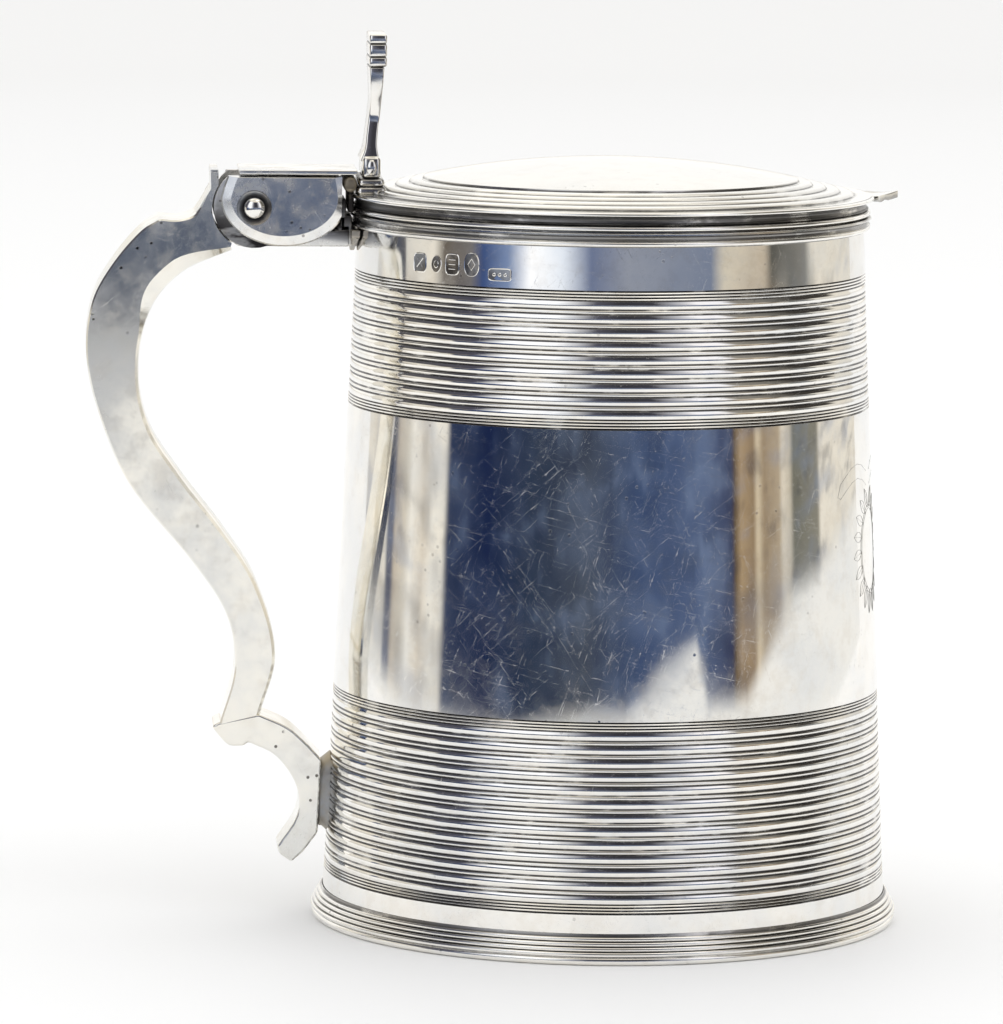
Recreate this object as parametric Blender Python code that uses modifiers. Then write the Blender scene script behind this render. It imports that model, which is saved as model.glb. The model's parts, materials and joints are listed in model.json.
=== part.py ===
"""Lidded silver tankard: a tapered drum with two bands of hooped reeding, a stepped lid with a
peak and a thumbpiece, and a hollow scroll handle that carries the lid's hinge.

Metres, +Z up. The origin is the centre of the foot, on the surface that the tankard stands on.
The handle lies towards -X and the lid's peak towards +X. The lid turns on a pin along Y.
"""

import math

import bmesh
import bpy
from mathutils import Vector
from mathutils.geometry import interpolate_bezier

# Fits
GAP = 0.0003  # between pieces that are soldered or rest on each other
HANDLE_SEAM = 0.00035  # between the plates of the hollow handle
RUNNING_CLEARANCE = 0.00005  # radial, around the hinge pin
BEZEL_CLEARANCE = 0.0006  # radial, lid bezel in drum

# Drum
DRUM_HEIGHT = 0.1479
DRUM_BASE_RADIUS = 0.05936
DRUM_TAPER = 0.0449  # loss of radius per unit of height
DRUM_WALL = 0.001
REED_PITCH = 0.00277
REED_EDGE = 0.0014  # narrow reeds that close each band
REED_DEPTH = 0.0003
LOWER_HOOPS = 13
UPPER_HOOPS = 9
LOWER_PLAIN_BAND = 0.0040  # between foot moulding and reeding
UPPER_PLAIN_BAND = 0.0089  # between rim moulding and reeding

# Foot and base
FOOT_SPREAD = 0.00214  # beyond the drum's radius at the ground
FOOT_HEIGHT = 0.0062
FOOT_LIP_HEIGHT = 0.0009
BASE_THICKNESS = 0.001

# Rim moulding
RIM_HEIGHT = 0.0029
RIM_PROUD = 0.0014

# Lid
LID_OVERHANG = 0.00228  # beyond the drum's lip
LID_EDGE_HEIGHT = 0.0028  # moulding below the flange
LID_SHEET = 0.0009
LID_FLANGE_WIDTH = 0.0045
LID_RINGS = 4
LID_RING_WIDTH = 0.002875
LID_RING_FALL = 0.00065  # from each ring to the next
LID_RING_SLOPE = 0.0004  # width of the sloping edge of each ring
LID_DOME_RISE = 0.004
BEZEL_THICKNESS = 0.0008
BEZEL_DEPTH = 0.0034
PEAK_REACH = 0.0052
PEAK_HALF_WIDTH = 0.008

# Hinge
PIN_STANDOFF = 0.0195  # pin axis beyond the lid's edge
PIN_RISE = 0.0014  # pin axis above the drum's lip
PIN_RADIUS = 0.0015
PIN_HEAD_RADIUS = 0.0022
PIN_HEAD_HEIGHT = 0.0011
WASHER_RADIUS = 0.0033
WASHER_THICKNESS = 0.0005
BUSH_WALL = 0.0011
LUG_RADIUS = 0.006
LUG_WIDTH = 0.014
CHEEK_THICKNESS = 0.0024
CHEEK_RADIUS = 0.0084  # round the pin, at the back and below
CHEEK_TOP = 0.0066  # above the pin
CHEEK_FRONT_GAP = 0.0015  # between the cheeks' front ends and the lid's edge
CHEEK_DROP = 0.008  # lowest point of the front, below the pin
STRAP_THICKNESS = 0.0009
TONGUE_DROP = 0.0082
TONGUE_THICKNESS = 0.0036

# Handle
HANDLE_WIDTH = 0.019  # at the pin
HANDLE_NARROWING = 2.85  # loss of width per metre below the pin, as a share of the width
HANDLE_SHEET = 0.0011
UPSTAND_THICKNESS = 0.0016
PAD_CENTRE_HEIGHT = 0.0258
PAD_LENGTH = 0.0156
PAD_WIDTH = 0.0094
PAD_THICKNESS = 0.0013
SHIELD_HALF_WIDTH = 0.0085
SHIELD_LENGTH = 0.0049
SHIELD_THICKNESS = 0.0010

# Thumbpiece
THUMBPIECE_WIDTH = 0.016
THUMBPIECE_HEIGHT = 0.033  # above the lid's flange
PLINTH_HEIGHT = 0.0076
PLINTH_WIDTH = 0.0194

# Facets
ROUND_STEPS = 48
SMALL_STEPS = 24
SPAN_STEPS = 4
SAW_TEETH = 40

# Silver, and the darker oxide of recessed pieces
SILVER = (0.93, 0.92, 0.89, 1.0)
WORN_SILVER = (0.80, 0.79, 0.76, 1.0)
DARK_SILVER = (0.42, 0.41, 0.39, 1.0)

# Sizes and places that follow from the ones above
FOOT_RADIUS = DRUM_BASE_RADIUS + FOOT_SPREAD
LID_RADIUS = DRUM_BASE_RADIUS - DRUM_TAPER * DRUM_HEIGHT + LID_OVERHANG
LID_STEP_RADIUS = LID_RADIUS - LID_FLANGE_WIDTH  # outer foot of the stepped rings
LID_DISC_RADIUS = LID_STEP_RADIUS - LID_RINGS * LID_RING_WIDTH
LID_SEAT = DRUM_HEIGHT + GAP
FLANGE_BOTTOM = LID_SEAT + LID_EDGE_HEIGHT + GAP
FLANGE_TOP = FLANGE_BOTTOM + LID_SHEET
PIN_X = -(LID_RADIUS + PIN_STANDOFF)
PIN_Z = DRUM_HEIGHT + PIN_RISE
CHEEK_REACH = PIN_STANDOFF - CHEEK_FRONT_GAP  # front end, from the pin
CHEEK_INNER_Y = LUG_WIDTH / 2 + GAP
CHEEK_OUTER_Y = CHEEK_INNER_Y + CHEEK_THICKNESS
CRADLE_RADIUS = CHEEK_RADIUS + GAP
STRAP_BOTTOM = PIN_Z + CHEEK_TOP + GAP
STRAP_TOP = STRAP_BOTTOM + STRAP_THICKNESS


def drum_radius(height):
    return DRUM_BASE_RADIUS - DRUM_TAPER * height


PAD_X = -(drum_radius(PAD_CENTRE_HEIGHT) + GAP + PAD_THICKNESS + GAP)


# ---------------------------------------------------------------- scene and materials


def clear_scene():
    for old in list(bpy.data.objects):
        bpy.data.objects.remove(old, do_unlink=True)


def new_collection(name):
    collection = bpy.data.collections.new(name)
    bpy.context.scene.collection.children.link(collection)
    return collection


def silver(name, colour, roughness):
    material = bpy.data.materials.new(name)
    material.use_nodes = True
    shader = material.node_tree.nodes["Principled BSDF"]
    shader.inputs["Base Color"].default_value = colour
    shader.inputs["Metallic"].default_value = 1.0
    shader.inputs["Roughness"].default_value = roughness
    material.diffuse_color = colour
    return material


clear_scene()
tankard = new_collection("tankard")
cutters = new_collection("cutters")


def finish(piece, colour=SILVER, roughness=0.12, smooth_angle=35):
    """Gives a piece its own silver, and smooth shading where its faces meet at a low angle."""
    piece.data.materials.clear()
    piece.data.materials.append(silver(piece.name + "_silver", colour, roughness))
    if piece.type == "MESH":
        piece.data.shade_smooth()
        piece.data.set_sharp_from_angle(angle=math.radians(smooth_angle))
    return piece


# ---------------------------------------------------------------- shapes


def turned(name, profile, steps=ROUND_STEPS, closed=True, colour=SILVER, roughness=0.12):
    """A turned piece. The profile is (radius, height) points, down the outer side first."""
    mesh = bpy.data.meshes.new(name)
    bm = bmesh.new()
    points = [bm.verts.new((radius, 0.0, height)) for radius, height in profile]
    for first, second in zip(points, points[1:]):
        bm.edges.new((first, second))
    if closed:
        bm.edges.new((points[-1], points[0]))
    bm.to_mesh(mesh)
    bm.free()
    piece = bpy.data.objects.new(name, mesh)
    tankard.objects.link(piece)
    screw = piece.modifiers.new("turn", "SCREW")
    screw.axis = "Z"
    screw.angle = math.tau
    screw.steps = steps
    screw.render_steps = steps
    screw.use_merge_vertices = True
    screw.merge_threshold = 1e-6
    screw.use_smooth_shade = True
    return finish(piece, colour, roughness)


def flat_outline(name, loops, thickness):
    """A flat plate: the first loop is its outline and any others are holes, in its own XY plane."""
    curve = bpy.data.curves.new(name, "CURVE")
    curve.dimensions = "2D"
    curve.fill_mode = "BOTH"
    curve.extrude = thickness / 2
    for loop in loops:
        spline = curve.splines.new("POLY")
        spline.points.add(len(loop) - 1)
        for point, (x, y) in zip(spline.points, loop):
            point.co = (x, y, 0.0, 1.0)
        spline.use_cyclic_u = True
    piece = bpy.data.objects.new(name, curve)
    tankard.objects.link(piece)
    return piece


def as_mesh(piece):
    """The same plate as a closed mesh in world space."""
    bpy.context.view_layer.update()
    evaluated = piece.evaluated_get(bpy.context.evaluated_depsgraph_get())
    mesh = bpy.data.meshes.new_from_object(evaluated)
    mesh.transform(piece.matrix_world)
    bm = bmesh.new()
    bm.from_mesh(mesh)
    bmesh.ops.remove_doubles(bm, verts=bm.verts, dist=1e-7)
    bmesh.ops.recalc_face_normals(bm, faces=bm.faces)
    bm.to_mesh(mesh)
    bm.free()
    name = piece.name
    bpy.data.objects.remove(piece, do_unlink=True)
    solid = bpy.data.objects.new(name, mesh)
    tankard.objects.link(solid)
    return solid


def upright_plate(name, loops, thickness, centre_y=0.0):
    """A plate whose outline is (x, z), counted from the pin axis, with its thickness along Y."""
    piece = flat_outline(name, loops, thickness)
    piece.location = (PIN_X, centre_y, PIN_Z)
    piece.rotation_euler = (math.radians(90), 0.0, 0.0)
    return as_mesh(piece)


def move_origin(piece, place):
    """Puts the object's origin at a place and leaves its shape where it is."""
    shift = Vector(place)
    for vertex in piece.data.vertices:
        vertex.co -= shift
    piece.location = shift
    return piece


def arc(centre, radius, start, end, steps):
    """Points on a circle, from one angle in degrees to another."""
    turns = [math.radians(start + (end - start) * step / steps) for step in range(steps + 1)]
    return [(centre[0] + radius * math.cos(t), centre[1] + radius * math.sin(t)) for t in turns]


def ring_hole(inner_radius):
    """A round hole whose flats clear the given radius."""
    corner = inner_radius / math.cos(math.pi / SMALL_STEPS)
    return arc((0.0, 0.0), corner, 0, 360 - 360 / SMALL_STEPS, SMALL_STEPS - 1)


def smooth_line(points, steps=SPAN_STEPS):
    """A curve through the points, as a bezier whose handles follow the neighbours."""
    knots = [Vector((x, z, 0.0)) for x, z in points]
    ends = [knots[0]] + knots + [knots[-1]]
    slopes = [(ends[i + 2] - ends[i]).normalized() for i in range(len(knots))]
    line = []
    for i, (first, second) in enumerate(zip(knots, knots[1:])):
        reach = (second - first).length / 3
        span = interpolate_bezier(
            first, first + slopes[i] * reach, second - slopes[i + 1] * reach, second, steps + 1
        )
        line += [(p.x, p.y) for p in span[:-1]]
    return line + [points[-1]]


def inset_line(line, distance):
    """The line moved sideways by a distance, to the left of its direction of travel."""
    moved = []
    for i, (x, z) in enumerate(line):
        before = line[max(i - 1, 0)]
        after = line[min(i + 1, len(line) - 1)]
        along = Vector((after[0] - before[0], after[1] - before[1])).normalized()
        moved.append((x - along.y * distance, z + along.x * distance))
    return moved


# ---------------------------------------------------------------- drum, base, foot and rim


def reeded_band(top, hoops):
    """Profile of one band of hooped reeding, downwards from its top edge."""
    band = [(drum_radius(top), top)]
    height = top - REED_EDGE / 2
    for hoop in range(hoops + 1):
        depth_radius = drum_radius(height) - REED_DEPTH
        band.append((depth_radius, height))
        if hoop < hoops:
            crest = height - (REED_PITCH + (REED_EDGE if hoop in (0, hoops - 1) else 0) / 2) / 2
            band.append((drum_radius(crest), crest))
        height -= REED_PITCH + (REED_EDGE / 2 if hoop in (0, hoops - 1) else 0)
    bottom = band_bottom(top, hoops)
    band.append((drum_radius(bottom), bottom))
    return band


def band_bottom(top, hoops):
    return top - hoops * REED_PITCH - 2 * REED_EDGE


def make_drum():
    bottom = FOOT_LIP_HEIGHT + GAP
    upper_top = DRUM_HEIGHT - RIM_HEIGHT - UPPER_PLAIN_BAND
    lower_top = FOOT_HEIGHT + LOWER_PLAIN_BAND + LOWER_HOOPS * REED_PITCH + 2 * REED_EDGE
    outside = [(drum_radius(DRUM_HEIGHT), DRUM_HEIGHT)]
    outside += reeded_band(upper_top, UPPER_HOOPS)
    outside += reeded_band(lower_top, LOWER_HOOPS)
    outside.append((drum_radius(bottom), bottom))
    inside = [
        (drum_radius(bottom) - DRUM_WALL, bottom),
        (drum_radius(DRUM_HEIGHT) - DRUM_WALL, DRUM_HEIGHT),
    ]
    return turned("drum", outside + inside)


def base_radius():
    return drum_radius(FOOT_LIP_HEIGHT + GAP + BASE_THICKNESS) - DRUM_WALL - GAP


def make_base_plate():
    bottom = FOOT_LIP_HEIGHT + GAP
    top = bottom + BASE_THICKNESS
    radius = base_radius()
    profile = [(0.0, top), (radius, top), (radius, bottom), (0.0, bottom)]
    return turned("base_plate", profile, closed=False, colour=WORN_SILVER, roughness=0.25)


def make_foot_moulding():
    """Three reeds that widen downwards over a plain roll, with a lip under the drum's wall."""
    seat = drum_radius(0) + GAP
    lip = base_radius() + GAP
    top_radius = drum_radius(FOOT_HEIGHT) + GAP
    reed = (FOOT_HEIGHT - 0.0018) / 3
    spread = FOOT_RADIUS - top_radius
    profile = [(top_radius + 0.25 * spread, FOOT_HEIGHT)]
    for count in range(3):
        crest = top_radius + spread * (0.45 + 0.25 * count)
        height = FOOT_HEIGHT - reed * count
        profile.append((crest, height - 0.35 * reed))
        profile.append((crest - 0.0002, height - reed))
    profile += [
        (FOOT_RADIUS, 0.0014),
        (FOOT_RADIUS, 0.0006),
        (FOOT_RADIUS - 0.0004, 0.0),
        (lip, 0.0),
        (lip, FOOT_LIP_HEIGHT),
        (seat, FOOT_LIP_HEIGHT),
        (top_radius, FOOT_HEIGHT),
    ]
    return turned("foot_moulding", profile)


def make_rim_moulding():
    """A bead under a cove, flush with the lip."""
    bottom = DRUM_HEIGHT - RIM_HEIGHT
    top_seat = drum_radius(DRUM_HEIGHT) + GAP
    low_seat = drum_radius(bottom) + GAP
    profile = [
        (top_seat + RIM_PROUD - 0.0003, DRUM_HEIGHT),
        (top_seat + RIM_PROUD, DRUM_HEIGHT - 0.0005),
        (top_seat + 0.5 * RIM_PROUD, DRUM_HEIGHT - 0.45 * RIM_HEIGHT),
        (low_seat + 0.8 * RIM_PROUD, bottom + 0.35 * RIM_HEIGHT),
        (low_seat + 0.8 * RIM_PROUD, bottom + 0.15 * RIM_HEIGHT),
        (low_seat + 0.4 * RIM_PROUD, bottom),
        (low_seat, bottom),
        (top_seat, DRUM_HEIGHT),
    ]
    return turned("rim_moulding", profile)


# ---------------------------------------------------------------- lid


def make_lid_plate():
    """A domed disc inside stepped rings, and a flat flange out to the rounded edge."""
    disc_edge = FLANGE_TOP + LID_RING_FALL * (LID_RINGS + 1)
    top = [
        (LID_DISC_RADIUS * share, disc_edge + LID_DOME_RISE * (1 - share**2))
        for share in (0.0, 0.34, 0.67, 1.0)
    ]
    for ring in range(LID_RINGS):
        radius = LID_DISC_RADIUS + LID_RING_WIDTH * ring
        height = disc_edge - LID_RING_FALL * (ring + 1)
        top.append((radius + LID_RING_SLOPE, height))
        top.append((radius + LID_RING_WIDTH, height))
    top += [
        (LID_STEP_RADIUS + LID_RING_SLOPE, FLANGE_TOP),
        (LID_RADIUS - 0.0004, FLANGE_TOP),
        (LID_RADIUS, FLANGE_TOP - 0.0003),
        (LID_RADIUS, FLANGE_BOTTOM + 0.0002),
        (LID_RADIUS - 0.0004, FLANGE_BOTTOM),
    ]
    under = [
        (LID_STEP_RADIUS, FLANGE_BOTTOM),
        (LID_DISC_RADIUS, disc_edge - LID_SHEET - LID_RING_FALL),
    ]
    under += [
        (LID_DISC_RADIUS * share, disc_edge - LID_SHEET + LID_DOME_RISE * (1 - share**2))
        for share in (0.67, 0.34, 0.0)
    ]
    return turned("lid_plate", top + under, closed=False)


def bezel_radius():
    return drum_radius(DRUM_HEIGHT) - DRUM_WALL - BEZEL_CLEARANCE


def make_lid_edge_moulding():
    """A cove over a bead, under the flange."""
    top = LID_SEAT + LID_EDGE_HEIGHT
    bead = drum_radius(DRUM_HEIGHT) + RIM_PROUD
    inside = bezel_radius() + GAP
    profile = [
        (LID_RADIUS - 0.0005, top),
        (bead - 0.0007, top - 0.35 * LID_EDGE_HEIGHT),
        (bead - 0.0006, LID_SEAT + 0.42 * LID_EDGE_HEIGHT),
        (bead, LID_SEAT + 0.28 * LID_EDGE_HEIGHT),
        (bead, LID_SEAT + 0.12 * LID_EDGE_HEIGHT),
        (bead - 0.0003, LID_SEAT),
        (inside, LID_SEAT),
        (inside, top),
    ]
    return turned("lid_edge_moulding", profile)


def make_lid_bezel():
    outside = bezel_radius()
    top = LID_SEAT + LID_EDGE_HEIGHT
    bottom = LID_SEAT - BEZEL_DEPTH
    profile = [
        (outside, top),
        (outside, bottom),
        (outside - BEZEL_THICKNESS, bottom),
        (outside - BEZEL_THICKNESS, top),
    ]
    return turned("lid_bezel", profile, colour=WORN_SILVER, roughness=0.2)


def make_lid_peak():
    """An ogee tab that continues the flange, opposite the handle."""
    edge = LID_RADIUS + GAP
    half_angle = math.degrees(math.asin(PEAK_HALF_WIDTH / edge))
    root = arc((0.0, 0.0), edge, -half_angle, half_angle, 8)
    side = smooth_line(
        [
            root[-1],
            (edge + 0.18 * PEAK_REACH, 0.60 * PEAK_HALF_WIDTH),
            (edge + 0.52 * PEAK_REACH, 0.30 * PEAK_HALF_WIDTH),
            (LID_RADIUS + PEAK_REACH, 0.0),
        ]
    )
    other_side = [(x, -y) for x, y in reversed(side[1:-1])]
    piece = flat_outline("lid_peak", [root + side[1:] + other_side], LID_SHEET)
    piece.location = (0.0, 0.0, FLANGE_BOTTOM + LID_SHEET / 2)
    return finish(as_mesh(piece))


# ---------------------------------------------------------------- hinge


def cheek_outline():
    """Round the pin at the back, a half ellipse in front and flat on top."""
    top_back = math.degrees(math.acos(-math.sqrt(CHEEK_RADIUS**2 - CHEEK_TOP**2) / CHEEK_RADIUS))
    back = arc((0.0, 0.0), CHEEK_RADIUS, top_back, 290, 14)
    start = back[-1]
    front_height = 0.002
    middle = CHEEK_REACH / 2 - 0.0034
    half = CHEEK_REACH - middle
    drop = CHEEK_DROP + front_height
    front = []
    for step in range(1, 11):
        x = start[0] + (CHEEK_REACH - start[0]) * math.sin(math.radians(9 * step))
        share = min(1.0, abs(x - middle) / half)
        front.append((x, front_height - drop * math.sqrt(1 - share**2)))
    return back + front + [(CHEEK_REACH - 0.0002, CHEEK_TOP)]


def make_hinge_cheek(name, side):
    centre = side * (CHEEK_INNER_Y + CHEEK_THICKNESS / 2)
    hole = ring_hole(PIN_RADIUS + RUNNING_CLEARANCE)
    piece = upright_plate(name, [cheek_outline(), hole], CHEEK_THICKNESS, centre)
    return finish(move_origin(piece, (PIN_X, 0.0, PIN_Z)), WORN_SILVER, 0.18)


def make_hinge_lug():
    """The fixed knuckle round the pin, with a tongue that runs to the drum's wall."""
    reach = -PIN_X - drum_radius(PIN_Z - TONGUE_DROP) - GAP - SHIELD_THICKNESS - GAP
    tongue_top = TONGUE_THICKNESS - TONGUE_DROP
    join_angle = math.degrees(math.asin(tongue_top / LUG_RADIUS))
    knuckle = arc((0.0, 0.0), LUG_RADIUS, join_angle, 212, 18)
    outline = [(reach, tongue_top)] + knuckle
    outline += [
        (-0.0090, -0.0060),
        (-0.0092, -0.0085),
        (-0.0044, -0.0072),
        (-0.0034, -TONGUE_DROP),
        (reach, -TONGUE_DROP),
    ]
    bore = ring_hole(PIN_RADIUS + 2 * RUNNING_CLEARANCE + BUSH_WALL)
    piece = upright_plate("hinge_lug", [outline, bore], LUG_WIDTH)
    return finish(piece, DARK_SILVER, 0.35)


def turned_on_pin(name, profile, side, closed=True, **look):
    """A turned piece on the pin axis; its profile's height runs outwards along Y from the middle."""
    piece = turned(name, profile, SMALL_STEPS, closed, **look)
    piece.location = (PIN_X, 0.0, PIN_Z)
    piece.rotation_euler = (math.radians(-90 * side), 0.0, 0.0)
    return piece


def make_hinge_bush():
    inner = (PIN_RADIUS + RUNNING_CLEARANCE) / math.cos(math.pi / SMALL_STEPS)
    outer = PIN_RADIUS + RUNNING_CLEARANCE + BUSH_WALL
    half = LUG_WIDTH / 2
    profile = [(outer, half), (outer, -half), (inner, -half), (inner, half)]
    return turned_on_pin("hinge_bush", profile, 1, colour=DARK_SILVER, roughness=0.3)


def make_pin_washer(name, side):
    inner = (PIN_RADIUS + RUNNING_CLEARANCE) / math.cos(math.pi / SMALL_STEPS)
    low = CHEEK_OUTER_Y + GAP
    high = low + WASHER_THICKNESS
    profile = [(WASHER_RADIUS, high), (WASHER_RADIUS, low), (inner, low), (inner, high)]
    return turned_on_pin(name, profile, side, colour=DARK_SILVER, roughness=0.35)


def make_hinge_pin():
    """A riveted pin: a shaft with a domed head at each end."""
    seat = CHEEK_OUTER_Y + GAP + WASHER_THICKNESS + GAP
    head = [
        (PIN_HEAD_RADIUS * math.cos(math.radians(a)), seat + PIN_HEAD_HEIGHT * math.sin(math.radians(a)))
        for a in (90, 60, 30, 0)
    ]
    head[0] = (0.0, head[0][1])
    upper = head + [(PIN_RADIUS, seat)]
    lower = [(radius, -height) for radius, height in reversed(upper)]
    return turned_on_pin("hinge_pin", upper + lower, 1, closed=False)


def make_strap_plate():
    """The flat top of the hinge, over both cheeks, from behind the pin to the thumbpiece."""
    back = -math.sqrt(CHEEK_RADIUS**2 - (STRAP_TOP - PIN_Z) ** 2)
    front = PIN_STANDOFF + 0.0018
    low = STRAP_BOTTOM - PIN_Z
    high = STRAP_TOP - PIN_Z
    outline = [(back, low), (front, low), (front, high), (back, high)]
    piece = upright_plate("strap_plate", [outline], 2 * CHEEK_OUTER_Y)
    return finish(move_origin(piece, (PIN_X, 0.0, PIN_Z)))


def make_strap_riser():
    """A rounded bar that joins the strap to the lid's flange."""
    radius = 0.0014
    middle = PIN_STANDOFF + 0.0003
    low = FLANGE_TOP + GAP - PIN_Z
    high = STRAP_BOTTOM - GAP - PIN_Z
    outline = arc((middle, low + radius), radius, 180, 360, 8)
    outline += arc((middle, high - radius), radius, 0, 180, 8)
    piece = upright_plate("strap_riser", [outline], 2 * CHEEK_OUTER_Y)
    return finish(move_origin(piece, (PIN_X, 0.0, PIN_Z)))


# ---------------------------------------------------------------- thumbpiece


def above_flange(points):
    """Points counted from the lid's edge and the flange's top, moved to the pin's frame."""
    rise = FLANGE_TOP - PIN_Z
    return [(x + PIN_STANDOFF, z + rise) for x, z in points]


def make_thumbpiece():
    """A plank that thickens towards three rolls along its top."""
    top = THUMBPIECE_HEIGHT
    foot = PLINTH_HEIGHT + GAP
    front = [
        (0.0078, top - 0.0008),
        (0.0079, top - 0.0016),
        (0.0074, top - 0.0021),
        (0.0078, top - 0.0032),
        (0.0073, top - 0.0045),
        (0.0076, top - 0.0055),
        (0.0072, top - 0.0064),
        (0.0072, top - 0.0100),
        (0.0062, top - 0.0170),
        (0.0058, top - 0.0220),
        (0.0062, foot),
    ]
    back = [
        (0.0028, foot),
        (0.0037, top - 0.0210),
        (0.0043, top - 0.0150),
        (0.0044, top - 0.0100),
        (0.0045, top - 0.0064),
        (0.0041, top - 0.0055),
        (0.0046, top - 0.0045),
        (0.0041, top - 0.0032),
        (0.0046, top - 0.0021),
        (0.0043, top - 0.0012),
        (0.0049, top - 0.0002),
    ]
    outline = above_flange([(0.0061, top), (0.0070, top - 0.0002)] + front + back)
    piece = upright_plate("thumbpiece", [outline], THUMBPIECE_WIDTH)
    return finish(move_origin(piece, (PIN_X, 0.0, PIN_Z)))


def make_thumbpiece_plinth():
    """The thumbpiece's foot: a block on a rounded cushion, with a heel swept back over the strap."""
    top = PLINTH_HEIGHT
    strap = STRAP_TOP + GAP - FLANGE_TOP
    first_ring = LID_RADIUS - LID_STEP_RADIUS - LID_RING_SLOPE - GAP
    second_ring = first_ring + LID_RING_WIDTH
    outline = above_flange(
        [
            (0.0064, top),
            (0.0064, 0.0036),
            (second_ring + 0.0007, 0.0030),
            (second_ring + 0.0009, 2 * LID_RING_FALL + GAP + 0.0003),
            (second_ring, LID_RING_FALL + GAP),
            (first_ring, LID_RING_FALL + GAP),
            (first_ring, GAP),
            (0.0030, GAP),
            (0.0021, 0.0014),
            (0.0021, strap),
            (0.0002, strap),
            (0.0016, strap + 0.0006),
            (0.0025, top),
        ]
    )
    piece = upright_plate("thumbpiece_plinth", [outline], PLINTH_WIDTH)
    return finish(move_origin(piece, (PIN_X, 0.0, PIN_Z)))


# ---------------------------------------------------------------- handle


def by_pad(points):
    """Points counted from the pad's middle, moved to the pin's frame."""
    return [(PAD_X + x - PIN_X, PAD_CENTRE_HEIGHT + z - PIN_Z) for x, z in points]


def spine_line():
    """Back of the handle, down from under the shoulder to the spur."""
    cusp = (-0.0194, -0.0024)
    shoulder = smooth_line([(-0.0124, -0.0016), (-0.0157, -0.0026), cusp])
    upper = [
        cusp,
        (-0.0233, -0.0049),
        (-0.0293, -0.0120),
        (-0.0333, -0.0195),
        (-0.0346, -0.0296),
        (-0.0325, -0.0411),
        (-0.0258, -0.0572),
    ]
    lower = by_pad([(-0.0267, 0.0490), (-0.0199, 0.0382), (-0.0182, 0.0272), (-0.0211, 0.0162)])
    return shoulder[:-1] + smooth_line(upper + lower)


def inner_line():
    """Face of the handle towards the drum, up from the notch to under the hinge."""
    lower = by_pad(
        [(-0.0128, 0.0183), (-0.0099, 0.0301), (-0.0140, 0.0450), (-0.0207, 0.0555)]
    )
    upper = [
        (-0.0152, -0.0560),
        (-0.0219, -0.0452),
        (-0.0239, -0.0325),
        (-0.0212, -0.0207),
        (-0.0148, -0.0133),
        (-0.0046, -0.0087),
    ]
    return smooth_line(lower + upper)


def narrowed(piece):
    """Narrows a handle piece evenly from the pin's height downwards."""
    for vertex in piece.data.vertices:
        below = max(0.0, PIN_Z - vertex.co.z)
        vertex.co.y *= 1 - HANDLE_NARROWING * below
    return piece


def upstand():
    """Outline of the stop behind the strap, from its front foot over the top to its back foot."""
    top = STRAP_TOP - PIN_Z
    back = -0.0090
    front = back + UPSTAND_THICKNESS
    foot_angle = math.degrees(math.acos(front / CRADLE_RADIUS))
    return front, foot_angle, [(front, top), (back, top), (-0.0089, 0.0039), (-0.0097, 0.0026)]


def make_handle_side(name, side):
    """One flat cheek of the hollow handle, cut round the hinge."""
    front, foot_angle, stop = upstand()
    cradle = arc((0.0, 0.0), CRADLE_RADIUS, 238, foot_angle, 12)
    back = stop + [(-0.0112, 0.0)] + spine_line()
    outline = cradle + back + inner_line()
    centre = side * (HANDLE_WIDTH - HANDLE_SHEET) / 2
    piece = upright_plate(name, [outline], HANDLE_SHEET, centre)
    return finish(narrowed(piece), roughness=0.14)


def handle_strip(name, line):
    """A strip between the two sides, with its face on the line and its sheet inside it."""
    inside = inset_line(line, HANDLE_SHEET)
    width = HANDLE_WIDTH - 2 * (HANDLE_SHEET + HANDLE_SEAM)
    piece = upright_plate(name, [line + inside[::-1]], width)
    return finish(narrowed(piece))


def make_shoulder_cap():
    """The dished cap behind the hinge, which carries the lid's stop."""
    front, foot_angle, stop = upstand()
    dish = arc((0.0, 0.0), CRADLE_RADIUS, 207, foot_angle, 8)
    back = [(-0.0112, 0.0), (-0.0121, -0.0012)]
    under = arc((0.0, 0.0), CRADLE_RADIUS + HANDLE_SHEET, 193, 207, 3)
    width = HANDLE_WIDTH - 2 * (HANDLE_SHEET + HANDLE_SEAM)
    piece = upright_plate("handle_shoulder_cap", [dish + stop + back + under], width)
    return finish(narrowed(piece), WORN_SILVER, 0.2)


def make_lower_scroll():
    """The solid terminal: a spur at the back, a bow against the pad and a turned-out tail."""
    half = PAD_LENGTH / 2
    lean = DRUM_TAPER * half
    back = smooth_line(by_pad([(-0.0226, 0.0148), (-0.0207, 0.0124), (-0.0189, 0.0108), (-0.0159, 0.0107)]))
    bow = smooth_line(
        by_pad(
            [
                (-0.0150, 0.0115),
                (-0.0090, 0.0084),
                (-0.0047, 0.0018),
                (-0.0047, -0.0041),
                (-0.0088, -0.0107),
            ]
        )
    )
    tail = by_pad([(-0.0084, -0.0122), (-0.0058, -0.0140), (-0.0034, -0.0119)])
    pad = by_pad([(-lean, -half), (lean, half)])
    neck = smooth_line(by_pad([(-0.0024, 0.0108), (-0.0067, 0.0146), (-0.0128, 0.0174)]))
    outline = back + bow + tail + pad + neck + by_pad([(-0.0213, 0.0156)])
    piece = upright_plate("handle_lower_scroll", [outline], HANDLE_WIDTH)
    return finish(narrowed(piece))


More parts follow.
